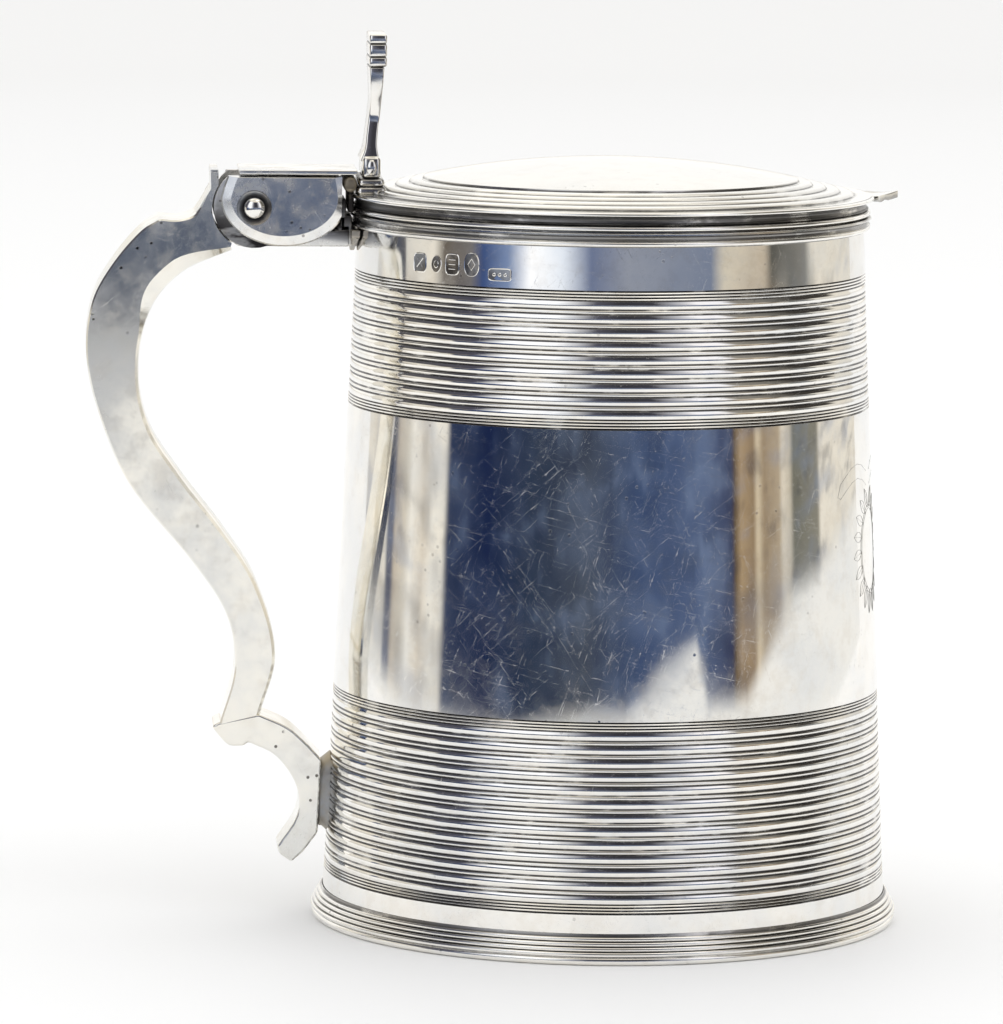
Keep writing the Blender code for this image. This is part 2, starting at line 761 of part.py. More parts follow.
def wall_cutter(name, low, high):
    """A cutter of the drum's outside, a gap larger, between two heights."""
    margin = 0.004
    profile = [
        (0.0, high + margin),
        (drum_radius(high + margin) + GAP, high + margin),
        (drum_radius(low - margin) + GAP, low - margin),
        (0.0, low - margin),
    ]
    cutter = turned(name, profile, 2 * ROUND_STEPS, closed=False)
    tankard.objects.unlink(cutter)
    cutters.objects.link(cutter)
    cutter.hide_render = True
    cutter.display_type = "WIRE"
    return cutter


def saddle(name, outline, outer_x, depth, low, high):
    """A plate across the drum's wall: outline is (y, z), and the drum's round cuts its back."""
    piece = flat_outline(name, [outline], depth)
    piece.location = (outer_x + depth / 2, 0.0, 0.0)
    piece.rotation_euler = (math.radians(90), 0.0, math.radians(90))
    solid = as_mesh(piece)
    cut = solid.modifiers.new("seat on the drum", "BOOLEAN")
    cut.operation = "DIFFERENCE"
    cut.object = wall_cutter(name + "_cutter", low, high)
    return finish(solid, WORN_SILVER, 0.2)


def make_handle_pad():
    """The oval pad between the lower scroll and the drum, leaning with the drum's wall."""
    low = PAD_CENTRE_HEIGHT - PAD_LENGTH / 2
    high = PAD_CENTRE_HEIGHT + PAD_LENGTH / 2
    round_end = PAD_WIDTH / 2
    outline = arc((0.0, low + round_end), round_end, 180, 360, 8)
    outline += arc((0.0, high - round_end), round_end, 0, 180, 8)
    outer_x = -(drum_radius(high) + GAP + PAD_THICKNESS)
    return saddle("handle_pad", outline, outer_x, 0.004, low, high)


def make_joint_shield():
    """The pointed drop under the rim moulding, where the tongue meets the drum."""
    high = DRUM_HEIGHT - RIM_HEIGHT - GAP
    low = high - SHIELD_LENGTH
    wide = SHIELD_HALF_WIDTH
    outline = [
        (-wide, high),
        (-wide, high - 0.3 * SHIELD_LENGTH),
        (-0.55 * wide, high - 0.72 * SHIELD_LENGTH),
        (0.0, low),
        (0.55 * wide, high - 0.72 * SHIELD_LENGTH),
        (wide, high - 0.3 * SHIELD_LENGTH),
        (wide, high),
    ]
    outer_x = -(drum_radius(low) + GAP + SHIELD_THICKNESS)
    return saddle("joint_shield", outline, outer_x, 0.004, low, high)


# ---------------------------------------------------------------- the whole tankard


def parent_lid(pieces):
    """The lid's pieces hang on an empty on the pin axis, and turn with it."""
    pivot = bpy.data.objects.new("lid_pivot", None)
    pivot.location = (PIN_X, 0.0, PIN_Z)
    tankard.objects.link(pivot)
    bpy.context.view_layer.update()
    for piece in pieces:
        piece.parent = pivot
        piece.matrix_parent_inverse = pivot.matrix_world.inverted()


make_drum()
make_base_plate()
make_foot_moulding()
make_rim_moulding()
make_handle_side("handle_side_near", -1)
make_handle_side("handle_side_far", 1)
handle_strip("handle_spine", spine_line())
handle_strip("handle_inner_strip", inner_line())
make_shoulder_cap()
make_lower_scroll()
make_handle_pad()
make_joint_shield()
make_hinge_lug()
make_hinge_bush()

parent_lid(
    [
        make_lid_plate(),
        make_lid_edge_moulding(),
        make_lid_bezel(),
        make_lid_peak(),
        make_strap_plate(),
        make_strap_riser(),
        make_hinge_cheek("hinge_cheek_near", -1),
        make_hinge_cheek("hinge_cheek_far", 1),
        make_hinge_pin(),
        make_pin_washer("pin_washer_near", -1),
        make_pin_washer("pin_washer_far", 1),
        make_thumbpiece(),
        make_thumbpiece_plinth(),
    ]
)
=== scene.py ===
import json
import math

import bmesh
import bpy
from mathutils import Matrix, Vector
from mathutils.geometry import interpolate_bezier


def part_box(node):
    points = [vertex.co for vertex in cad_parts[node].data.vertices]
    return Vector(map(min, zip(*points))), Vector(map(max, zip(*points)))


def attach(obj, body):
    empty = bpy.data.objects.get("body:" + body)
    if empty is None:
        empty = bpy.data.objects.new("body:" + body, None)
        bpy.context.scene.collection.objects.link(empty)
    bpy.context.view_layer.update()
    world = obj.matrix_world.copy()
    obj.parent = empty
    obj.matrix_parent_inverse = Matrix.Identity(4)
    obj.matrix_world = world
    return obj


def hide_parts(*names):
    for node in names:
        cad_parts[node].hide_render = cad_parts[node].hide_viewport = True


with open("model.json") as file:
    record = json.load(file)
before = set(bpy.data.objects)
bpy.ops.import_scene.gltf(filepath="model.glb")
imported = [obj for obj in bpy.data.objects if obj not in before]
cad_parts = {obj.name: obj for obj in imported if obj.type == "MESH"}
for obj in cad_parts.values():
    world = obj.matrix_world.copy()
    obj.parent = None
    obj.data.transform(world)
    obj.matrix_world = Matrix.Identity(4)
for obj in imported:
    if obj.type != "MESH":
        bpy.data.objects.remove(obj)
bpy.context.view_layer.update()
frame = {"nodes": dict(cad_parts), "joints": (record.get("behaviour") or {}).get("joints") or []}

BODY = "tankard_body"
LID = "lid"

# ---------------------------------------------------------------- places taken from the frame

PIN = Vector(frame["joints"][0]["pos_m"])
DRUM_LOW, DRUM_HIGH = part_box("drum")
LID_LOW, LID_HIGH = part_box("lid_plate")
FOOT_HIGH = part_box("foot_moulding")[1]
RIM_LOW, RIM_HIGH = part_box("rim_moulding")
EDGE_LOW, EDGE_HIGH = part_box("lid_edge_moulding")
BEZEL_LOW, BEZEL_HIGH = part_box("lid_bezel")
CHEEK_LOW, CHEEK_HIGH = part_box("hinge_cheek_near")
STRAP_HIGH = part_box("strap_plate")[1]
LUG_LOW, LUG_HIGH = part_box("hinge_lug")
HANDLE_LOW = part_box("handle_side_near")[0]
PAD_LOW, PAD_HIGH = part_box("handle_pad")

# ---------------------------------------------------------------- sizes that the frame doesn't give

DRUM_TAPER = 0.0449
DRUM_WALL = 0.001
DRUM_FOOT_RADIUS = DRUM_HIGH.x + DRUM_TAPER * DRUM_LOW.z

HOOP_PITCH = 0.00277
HOOP_BEAD = 0.00094  # narrow bead between two hoops
HOOP_DEPTH = 0.00019
BAND_REED = 0.00062  # three narrow reeds close each band above and below
HOOP_GROOVE = 0.00020  # half width of the line beside a hoop
REED_GROOVE = 0.00014  # half width of the line beside a narrow reed
LOWER_HOOPS = 13
UPPER_HOOPS = 9
LOWER_PLAIN_BAND = 0.0040
UPPER_PLAIN_BAND = 0.0089
DRUM_LIP = 0.0003

FOOT_REEDS = 4
FOOT_ROLL = 0.0009  # radius of the plain roll under the reeds
FOOT_LIP = 0.0022  # how far the foot reaches in under the drum

LID_DISC_RADIUS = 0.039
LID_STEP_RADIUS = 0.0505
LID_RINGS = 4
LID_SHEET = 0.0009
LID_DOME_RISE = 0.004

CHEEK_RECESS = 0.0009
PIN_HEAD = 0.0022
PIN_SHANK = 0.0015
WASHER_HOLE = 0.00156
THUMB_FOOT = 0.0096  # from the pin up to the plank's lower end
THUMB_HEIGHT = 0.0172  # of the plank's waisted part

HANDLE_NARROWING = 2.85
HANDLE_SHEET = 0.0011
SPINE_BEVEL = 0.00035
CRADLE_RADIUS = 0.0087
UPSTAND_THICKNESS = 0.0016

ROUND_STEPS = 192
SEAM = 0.0001  # how far a soldered piece is let into its neighbour
CLOSE = 0.00005  # a profile point this near a corner keeps it crisp
SHADE_AND_GRIME = "shade_and_grime"  # the attribute that darkens the silver: painted shade in grooves, coves, recesses and under parts, with some real grime


def drum_radius(height):
    """Outer radius of the drum's plain wall at a height."""
    return DRUM_FOOT_RADIUS - DRUM_TAPER * height


# ---------------------------------------------------------------- silver


def node_material(name):
    """A new material and its node tree."""
    material = bpy.data.materials.new(name)
    material.use_nodes = True
    return material, material.node_tree


def link_math(tree, operation, first, second=None, clamp=False):
    """A math node on two sockets or numbers; returns its output."""
    made = tree.nodes.new("ShaderNodeMath")
    made.operation = operation
    made.use_clamp = clamp
    for socket, value in zip(made.inputs, (first, second)):
        if value is None:
            continue
        if isinstance(value, (int, float)):
            socket.default_value = value
        else:
            tree.links.new(value, socket)
    return made.outputs[0]


def link_mix(tree, factor, first, second):
    """A colour mix; each colour is a socket or four numbers."""
    made = tree.nodes.new("ShaderNodeMix")
    made.data_type = "RGBA"
    tree.links.new(factor, made.inputs["Factor"])
    for socket, value in ((made.inputs["A"], first), (made.inputs["B"], second)):
        if isinstance(value, tuple):
            socket.default_value = value
        else:
            tree.links.new(value, socket)
    return made.outputs["Result"]


def placed(tree, turn=(0, 0, 0), stretch=(1, 1, 1)):
    """Object coordinates, turned by degrees and stretched."""
    coordinates = tree.nodes.new("ShaderNodeTexCoord")
    mapping = tree.nodes.new("ShaderNodeMapping")
    mapping.vector_type = "TEXTURE"
    mapping.inputs["Rotation"].default_value = [math.radians(angle) for angle in turn]
    mapping.inputs["Scale"].default_value = [1 / factor for factor in stretch]
    tree.links.new(coordinates.outputs["Object"], mapping.inputs["Vector"])
    return mapping.outputs["Vector"]


def noise(tree, place, scale, detail, roughness=0.5):
    """The value of a noise texture."""
    made = tree.nodes.new("ShaderNodeTexNoise")
    made.inputs["Scale"].default_value = scale
    made.inputs["Detail"].default_value = detail
    made.inputs["Roughness"].default_value = roughness
    tree.links.new(place, made.inputs["Vector"])
    return made.outputs["Fac"]


def between(tree, value, low, high, smooth=True):
    """0 up to a low value and 1 from a high one, with a slope between them."""
    made = tree.nodes.new("ShaderNodeMapRange")
    made.interpolation_type = "SMOOTHSTEP" if smooth else "LINEAR"
    made.inputs["From Min"].default_value = low
    made.inputs["From Max"].default_value = high
    tree.links.new(value, made.inputs["Value"])
    return made.outputs["Result"]


def cloud(tree, place, scale, detail=4.0, low=0.4, high=0.65):
    """Noise between a low and a high threshold, from 0 to 1."""
    return between(tree, noise(tree, place, scale, detail, 0.62), low, high)


def bump(tree, height, distance, strength=1.0, below=None, sunk=False):
    """A bump in a surface's normal, over another bump if one is given."""
    made = tree.nodes.new("ShaderNodeBump")
    made.invert = sunk
    made.inputs["Strength"].default_value = strength
    made.inputs["Distance"].default_value = distance
    tree.links.new(height, made.inputs["Height"])
    if below:
        tree.links.new(below, made.inputs["Normal"])
    return made.outputs["Normal"]


def scratch_layer(tree, turn, stretch):
    """Fine straight scratches along one direction: the level lines of a stretched noise."""
    place = placed(tree, turn, stretch)
    uneven = link_math(tree, "SUBTRACT", noise(tree, place, 1.0, 1.0), 0.5)
    line = link_math(tree, "LESS_THAN", link_math(tree, "ABSOLUTE", uneven), SCRATCH_WIDTH)
    return link_math(tree, "MULTIPLY", line, cloud(tree, place, 0.45, 1.0, 0.56, 0.62))


def pit_layer(tree, place):
    """Sparse small pits, gathered in patches."""
    cells = tree.nodes.new("ShaderNodeTexVoronoi")
    cells.inputs["Scale"].default_value = 420.0
    tree.links.new(place, cells.inputs["Vector"])
    near = link_math(tree, "LESS_THAN", cells.outputs["Distance"], 0.14)
    patch = cloud(tree, place, 70.0, 3.0, 0.55, 0.62)
    return link_math(tree, "MULTIPLY", near, patch)


BLUE_TARNISH = (0.62, 0.67, 0.74, 1.0)
BROWN_TARNISH = (0.66, 0.58, 0.47, 1.0)
PIT_COLOUR = (0.09, 0.08, 0.07, 1.0)
# Near black for the attribute's darkness: painted shade with some grime.
SHADE_AND_GRIME_COLOUR = (0.035, 0.032, 0.034, 1.0)
BUMP_HEIGHT = 0.00003
SCRATCH_WIDTH = 0.006
SCRATCHES = (  # turn in degrees and stretch of each direction
    ((0, 14, 10), (110, 90, 2600)),
    ((0, -42, -20), (130, 90, 2300)),
    ((0, 66, 30), (120, 90, 2900)),
    ((0, -71, 0), (160, 90, 2200)),
)


def silver_finish(name, colour, roughness, clouding, scratches, pits, haze=0.38):
    """Silver with tarnish clouds, scratches and pits, darkened where the grime attribute holds painted
    shade and grime.
    """
    material, tree = node_material(name)
    material.diffuse_color = colour
    shader = tree.nodes["Principled BSDF"]
    shader.inputs["Metallic"].default_value = 1.0

    place = placed(tree)
    broad = cloud(tree, place, 38.0, 5.0)
    fine = cloud(tree, place, 210.0, 4.0, 0.45, 0.7)
    pitted = pit_layer(tree, place)
    shade_and_grime = tree.nodes.new("ShaderNodeAttribute")
    shade_and_grime.attribute_name = SHADE_AND_GRIME
    # Patches where the painted shade and grime thin out, so that the reflection shows through.
    patchy = cloud(tree, placed(tree, stretch=(1, 1, 3)), 95.0, 4.0, 0.52, 0.66)
    kept = link_math(tree, "SUBTRACT", 1.0, link_math(tree, "MULTIPLY", patchy, 0.55))
    shade_and_dirt = link_math(tree, "MULTIPLY", shade_and_grime.outputs["Fac"], kept)
    toned = link_mix(tree, link_math(tree, "MULTIPLY", broad, clouding), colour, BLUE_TARNISH)
    toned = link_mix(tree, link_math(tree, "MULTIPLY", fine, clouding * 0.6), toned, BROWN_TARNISH)
    toned = link_mix(tree, link_math(tree, "MULTIPLY", pitted, pits), toned, PIT_COLOUR)
    # Darkens the colour by the attribute: painted shade with some grime.
    toned = link_mix(tree, shade_and_dirt, toned, SHADE_AND_GRIME_COLOUR)
    tree.links.new(toned, shader.inputs["Base Color"])

    marks = 0.0
    for turn, stretch in SCRATCHES:
        marks = link_math(tree, "MAXIMUM", marks, scratch_layer(tree, turn, stretch))
    rough = roughness
    hazy = haze * clouding
    for layer, share in ((marks, scratches), (broad, hazy), (fine, 0.5 * hazy), (shade_and_dirt, 0.25)):
        rough = link_math(tree, "ADD", link_math(tree, "MULTIPLY", layer, share), rough, clamp=True)
    tree.links.new(rough, shader.inputs["Roughness"])

    wavy = bump(tree, noise(tree, place, 34.0, 2.0), BUMP_HEIGHT)
    worn = bump(tree, pitted, BUMP_HEIGHT, 0.35, wavy, sunk=True)
    tree.links.new(worn, shader.inputs["Normal"])
    return material


SILVER = (0.93, 0.905, 0.85, 1.0)
drum_silver = silver_finish("drum_silver", SILVER, 0.035, 0.32, 0.18, 0.25, 0.15)
turned_silver = silver_finish("turned_silver", SILVER, 0.08, 0.22, 0.06, 0.35)
lid_silver = silver_finish("lid_silver", (0.93, 0.915, 0.87, 1.0), 0.09, 0.16, 0.06, 0.3)
handle_silver = silver_finish("handle_silver", (0.93, 0.90, 0.82, 1.0), 0.10, 0.30, 0.07, 0.9)
hinge_silver = silver_finish("hinge_silver", (0.90, 0.88, 0.83, 1.0), 0.13, 0.55, 0.07, 0.6)
# A darker, rougher copy of the silver for pieces in recesses and under the lid: painted shade, with
# wear.
worn_silver = silver_finish("worn_silver", (0.80, 0.78, 0.74, 1.0), 0.20, 0.4, 0.1, 0.6)
joint_silver = silver_finish("joint_silver", (0.36, 0.31, 0.23, 1.0), 0.36, 0.7, 0.1, 0.9)
oxide_silver = silver_finish("oxide_silver", (0.12, 0.11, 0.10, 1.0), 0.26, 0.8, 0.1, 0.5)
engraved_silver = silver_finish("engraved_silver", (0.16, 0.155, 0.14, 1.0), 0.40, 0.1, 0.0, 0.2)


# ---------------------------------------------------------------- making pieces


def in_scene(name, data):
    """A new object in the scene for a mesh, a curve, a camera or a light."""
    made = bpy.data.objects.new(name, data)
    bpy.context.scene.collection.objects.link(made)
    return made


def new_shape():
    """An empty shape whose points can hold a darkness: painted shade with some grime."""
    shape = bmesh.new()
    shape.verts.layers.float.new(SHADE_AND_GRIME)
    return shape


def finished(shape, name, body, material, replaces=(), smooth_angle=32):
    """Turns the shape into a piece that rides on a body and stands for CAD nodes."""
    mesh = bpy.data.meshes.new(name)
    shape.to_mesh(mesh)
    shape.free()
    mesh.materials.append(material)
    mesh.shade_smooth()
    mesh.set_sharp_from_angle(angle=math.radians(smooth_angle))
    piece = in_scene(name, mesh)
    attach(piece, body)
    if replaces:
        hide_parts(*replaces)
    return piece


def keep_flat(piece):
    """Keeps the large faces flat, with the shading's turn left to the bevels."""
    weighted = piece.modifiers.new("flat faces", "WEIGHTED_NORMAL")
    weighted.keep_sharp = True
    weighted.weight = 100
    return piece


def spun_shape(profile, steps=ROUND_STEPS, closed=True):
    """A turned shape about Z. The profile is (radius, height, darkness) points; the darkness is
    painted shade with some grime.
    """
    shape = new_shape()
    shade_and_grime = shape.verts.layers.float[SHADE_AND_GRIME]
    points = []
    for radius, height, dark in profile:
        point = shape.verts.new((radius, 0.0, height))
        point[shade_and_grime] = dark
        points.append(point)
    pairs = list(zip(points, points[1:]))
    if closed:
        pairs.append((points[-1], points[0]))
    line = [shape.edges.new(pair) for pair in pairs]
    bmesh.ops.spin(
        shape,
        geom=points + line,
        axis=(0, 0, 1),
        cent=(0, 0, 0),
        angle=math.tau,
        steps=steps,
        use_merge=True,
    )
    bmesh.ops.remove_doubles(shape, verts=shape.verts, dist=1e-6)
    bmesh.ops.recalc_face_normals(shape, faces=shape.faces)
    return shape


def cad_shape(node):
    """A merged copy of a CAD node's mesh, with its flat stretches made single faces."""
    shape = new_shape()
    shape.from_mesh(frame["nodes"][node].data)
    if SHADE_AND_GRIME not in shape.verts.layers.float:
        shape.verts.layers.float.new(SHADE_AND_GRIME)
    bmesh.ops.remove_doubles(shape, verts=shape.verts, dist=1e-6)
    bmesh.ops.dissolve_limit(
        shape, angle_limit=math.radians(0.5), verts=shape.verts, edges=shape.edges
    )
    return shape


def round_edges(shape, edges, width, segments):
    """Rounds the given edges."""
    bmesh.ops.bevel(
        shape,
        geom=edges,
        offset=width,
        offset_type="OFFSET",
        affect="EDGES",
        segments=segments,
        profile=0.5,
        material=-1,
        clamp_overlap=True,
    )


def soften(shape, width, segments=3, above=28):
    """Rounds every edge that turns by more than an angle in degrees."""
    limit = math.radians(above)
    sharp = [edge for edge in shape.edges if edge.is_manifold and edge.calc_face_angle(0.0) > limit]
    round_edges(shape, sharp, width, segments)
    return shape


def softened(node, name, body, material, width):
    """The CAD node's own shape with its edges rounded."""
    return keep_flat(finished(soften(cad_shape(node), width), name, body, material, (node,)))


def darken(shape, darkness):
    """Gives every point its darkness of painted shade and grime, by a rule on its place."""
    shade_and_grime = shape.verts.layers.float[SHADE_AND_GRIME]
    for point in shape.verts:
        point[shade_and_grime] = darkness(point.co)


def blend_share(value, low, high):
    """0 up to a low value and 1 from a high one, with a smooth slope between them."""
    share = min(1.0, max(0.0, (value - low) / (high - low)))
    return share * share * (3 - 2 * share)


def oval_points(centre, half_size, angles, dark=0.0):
    """Profile points on an oval about a (radius, height) centre, at angles in degrees."""
    turns = [math.radians(angle) for angle in angles]
    return [
        (centre[0] + half_size[0] * math.cos(t), centre[1] + half_size[1] * math.sin(t), dark)
        for t in turns
    ]


def arc(centre, radius, start, end, steps):
    """Points on a circle, from one angle in degrees to another."""
    turns = [math.radians(start + (end - start) * step / steps) for step in range(steps + 1)]
    return [(centre[0] + radius * math.cos(t), centre[1] + radius * math.sin(t)) for t in turns]


def smooth_line(points, steps=8):
    """A curve through the points, as a bezier whose handles follow the neighbours."""
    knots = [Vector((x, z, 0.0)) for x, z in points]
    ends = [knots[0]] + knots + [knots[-1]]
    slopes = [(ends[i + 2] - ends[i]).normalized() for i in range(len(knots))]
    line = []
    for i, (first, second) in enumerate(zip(knots, knots[1:])):
        reach = (second - first).length / 3
        span = interpolate_bezier(
            first, first + slopes[i] * reach, second - slopes[i + 1] * reach, second, steps + 1
        )
        line += [(p.x, p.y) for p in span[:-1]]
    return line + [points[-1]]


def inset_line(line, distances):
    """The line moved to the left of its travel, by one distance for each point."""
    moved = []
    for i, (x, z) in enumerate(line):
        before = line[max(i - 1, 0)]
        after = line[min(i + 1, len(line) - 1)]
        along = Vector((after[0] - before[0], after[1] - before[1])).normalized()
        moved.append((x - along.y * distances[i], z + along.x * distances[i]))
    return moved


# ---------------------------------------------------------------- drum, foot and rim


def swelling(high, low, groove, sink, rise, points=7, power=2.0):
    """Profile of a rounded hoop or bead on the drum, between the grooves at two heights."""
    made = []
    high -= 1.25 * groove
    low += 1.25 * groove
    for step in range(points):
        share = step / (points - 1)
        height = high + (low - high) * share
        lift = rise * (1 - 0.8 * abs(2 * share - 1) ** power)
        made.append((drum_radius(height) - sink + lift, height, 0.0))
    return made


def incised(height, groove, depth=HOOP_DEPTH):
    """Profile of a line cut in the drum, darkened as painted shade with some grime."""
    sink = drum_radius(height) - depth
    return [
        (sink + 0.2 * depth, height + groove, 0.75),
        (sink - 0.4 * depth, height, 1.0),
        (sink + 0.2 * depth, height - groove, 0.75),
    ]


def narrow_reeds(height, count=3):
    """Profile of the narrow reeds at a band's edge, downwards from a height."""
    profile = []
    for _ in range(count):
        low = height - BAND_REED
        profile += swelling(height, low, REED_GROOVE, 0.6 * HOOP_DEPTH, 0.5 * HOOP_DEPTH, 3)
        profile += incised(low, REED_GROOVE)
        height = low
    return profile


def band_height(hoops):
    """Height of a hooped band with its narrow reeds."""
    return hoops * HOOP_PITCH - HOOP_BEAD + 6 * BAND_REED


def hooped_band(top, hoops):
    """Profile of one band of hooped reeding, downwards from its top edge."""
    profile = [(drum_radius(top + 0.0002), top + 0.0002, 0.0)]
    profile += incised(top, REED_GROOVE) + narrow_reeds(top)
    height = top - 3 * BAND_REED
    hoop = HOOP_PITCH - HOOP_BEAD
    for count in range(hoops):
        low = height - hoop
        profile += swelling(height, low, HOOP_GROOVE, 0.95 * HOOP_DEPTH, HOOP_DEPTH, 7, 2.4)
        height = low
        if count < hoops - 1:
            profile += incised(height, HOOP_GROOVE)
            low = height - HOOP_BEAD
            profile += swelling(height, low, HOOP_GROOVE, 0.6 * HOOP_DEPTH, 0.5 * HOOP_DEPTH, 4)
            profile += incised(low, HOOP_GROOVE)
            height = low
    profile += incised(height, REED_GROOVE)
    profile += narrow_reeds(height)
    bottom = top - band_height(hoops) - 0.0002
    profile.append((drum_radius(bottom), bottom, 0.0))
    return profile


def plain_stretch(high, low, parts=6):
    """Profile points on a plain part of the wall, close to its ends and spread between them."""
    inside = [high + (low - high) * count / parts for count in range(1, parts)]
    heights = [high - CLOSE] + inside + [low + CLOSE]
    return [(drum_radius(height), height, 0.0) for height in heights]


def make_drum():
    """The tapered wall with its two hooped bands, its lip and its inside."""
    upper = hooped_band(RIM_LOW.z - UPPER_PLAIN_BAND, UPPER_HOOPS)
    lower = hooped_band(FOOT_HIGH.z + LOWER_PLAIN_BAND + band_height(LOWER_HOOPS), LOWER_HOOPS)
    profile = [
        (drum_radius(DRUM_HIGH.z) - DRUM_LIP, DRUM_HIGH.z, 0.0),
        (drum_radius(DRUM_HIGH.z), DRUM_HIGH.z - DRUM_LIP, 0.0),
    ]
    profile += plain_stretch(DRUM_HIGH.z - 2 * DRUM_LIP, upper[0][1])
    profile += upper
    profile += plain_stretch(upper[-1][1], lower[0][1], 10)
    profile += lower
    profile += plain_stretch(lower[-1][1], DRUM_LOW.z)
    inner_low = drum_radius(DRUM_LOW.z) - DRUM_WALL
    inner_high = drum_radius(DRUM_HIGH.z) - DRUM_WALL
    # The inside, darker towards the bottom: painted shade.
    profile += [
        (inner_low, DRUM_LOW.z, 0.6),
        (inner_low - 0.0001, DRUM_LOW.z + 0.004, 0.25),
        (inner_high + 0.0001, DRUM_HIGH.z - 0.004, 0.1),
        (inner_high, DRUM_HIGH.z, 0.0),
    ]
    shape = spun_shape(profile)
    return finished(shape, "reeded_drum", BODY, drum_silver, ("drum",))


def make_foot_ring():
    """Four reeds that widen downwards over a plain roll, with a flat underside."""
    seat = drum_radius(0) + SEAM
    top = FOOT_HIGH.z - 0.0006
    top_radius = drum_radius(top) + SEAM
    wide = FOOT_HIGH.x
    reed = (top - 2 * FOOT_ROLL) / FOOT_REEDS
    # Painted shade at the foot's top, between the reeds and under the foot.
    profile = [(top_radius, FOOT_HIGH.z, 0.6), (top_radius + 0.0002, top, 0.85)]
    for count in range(FOOT_REEDS):
        high = top - reed * count
        middle = top_radius + (wide - top_radius) * (0.25 + 0.22 * count)
        profile += oval_points((middle, high - reed / 2), (0.00034, 0.46 * reed), range(70, -51, -30))
        profile.append((middle - 0.0001, high - reed, 1.0))
    profile += oval_points((wide - FOOT_ROLL, FOOT_ROLL), (FOOT_ROLL, FOOT_ROLL), range(60, -66, -25))
    profile += [
        (wide - FOOT_ROLL, 0.0, 0.3),
        (seat - FOOT_LIP, 0.0, 0.5),
        (seat - FOOT_LIP, 0.0009, 0.6),
        (seat, 0.0009, 0.6),
    ]
    shape = spun_shape(profile)
    return finished(shape, "reeded_foot", BODY, turned_silver, ("foot_moulding",))


def make_rim_ring():
    """A bead under a cove, with a fine line below."""
    low, high = RIM_LOW.z, RIM_HIGH.z
    seat_low, seat_high = drum_radius(low) + SEAM, drum_radius(high) + SEAM
    wide = RIM_HIGH.x
    profile = [
        (wide - 0.0004, high, 0.5),
        (wide - 0.0001, high - 0.0002, 0.2),
        (wide - 0.0001, high - 0.0004, 0.2),
    ]
    # Painted shade in the cove and in the fine line, with some grime.
    cove = (120, 150, 180, 210, 235)
    profile += oval_points((wide + 0.0001, high - 0.0011), (0.00085, 0.0006), cove, 0.7)
    profile += oval_points((seat_low + 0.00065, low + 0.00072), (0.0005, 0.00048), range(80, -71, -30))
    profile += [
        (seat_low + 0.0005, low + 0.00018, 1.0),
        (seat_low + 0.0003, low, 0.6),
        (seat_low, low, 0.6),
        (seat_high, high, 0.6),
    ]
    shape = spun_shape(profile)
    return finished(
        shape, "rim_bead_and_cove", BODY, turned_silver, ("rim_moulding",)
    )


# ---------------------------------------------------------------- lid


def make_lid_top():
    """A domed disc inside four convex rings, a flat flange and a rounded edge."""
    low, high, wide = LID_LOW.z, LID_HIGH.z, LID_HIGH.x
    flange = low + LID_SHEET
    disc_edge = high - LID_DOME_RISE
    profile = []
    for step in range(13):
        share = step / 12 * 0.992
        profile.append((LID_DISC_RADIUS * share, disc_edge + LID_DOME_RISE * (1 - share**2), 0.0))
    # Painted shade where the disc and each ring drop to the next, at the flange's edge and under the
    # lid.
    profile += [
        (LID_DISC_RADIUS, disc_edge - CLOSE, 0.2),
        (LID_DISC_RADIUS + 0.00015, disc_edge - 0.0004, 1.0),
    ]
    ring = (LID_STEP_RADIUS - LID_DISC_RADIUS) / LID_RINGS
    fall = (disc_edge - flange) / (LID_RINGS + 1)
    for count in range(LID_RINGS):
        inner = LID_DISC_RADIUS + ring * count + 0.0003
        height = disc_edge - fall * (count + 1)
        for share in (0.0, 0.15, 0.4, 0.65, 0.85):
            swell = 0.00022 * (1 - (2 * share - 1) ** 2)
            profile.append((inner + (ring - 0.0005) * share, height + swell, 0.0))
        profile.append((inner + ring - 0.0003, height - 0.5 * fall, 0.3))
        profile.append((inner + ring - 0.00015, height - fall + 0.0001, 1.0))
    profile += [
        (LID_STEP_RADIUS + 0.0006, flange, 0.2),
        (LID_STEP_RADIUS + 0.0010, flange + 0.00004, 0.0),
        (wide - 0.0009, flange, 0.0),
        (wide - 0.0008, flange - 0.0001, 0.8),
    ]
    profile += oval_points((wide - 0.00045, low + 0.00042), (0.00045, 0.0004), range(80, -71, -30))
    profile += [(wide - 0.0008, low, 0.6), (LID_STEP_RADIUS, low, 0.2)]
    for share in (1.0, 0.8, 0.6, 0.4, 0.2, 0.0):
        under = disc_edge - (LID_SHEET + 0.0006 * share)
        profile.append((LID_DISC_RADIUS * share, under + LID_DOME_RISE * (1 - share**2), 0.1))
    shape = spun_shape(profile, closed=False)
    return finished(shape, "stepped_lid", LID, lid_silver, ("lid_plate",))


def make_lid_edge():
    """A cove over a bead, under the flange."""
    low, high, wide = EDGE_LOW.z, EDGE_HIGH.z, LID_HIGH.x
    bead = drum_radius(DRUM_HIGH.z) + 0.0014
    inside = BEZEL_HIGH.x + 0.0002
    profile = [(wide - 0.0006, high + 0.0003, 0.5)]
    # Painted shade in the cove, under the bead and inside.
    profile += oval_points((wide - 0.0002, high - 0.0007), (0.0016, 0.0010), range(100, 226, 25), 0.8)
    profile.append((bead - 0.0009, low + 0.0011, 0.9))
    profile += oval_points((bead - 0.00052, low + 0.00055), (0.00052, 0.00052), range(85, -66, -30))
    profile += [(bead - 0.0008, low, 0.8), (inside, low, 0.6), (inside, high + 0.0003, 0.6)]
    shape = spun_shape(profile)
    return finished(
        shape, "lid_cove_and_bead", LID, turned_silver, ("lid_edge_moulding",)
    )


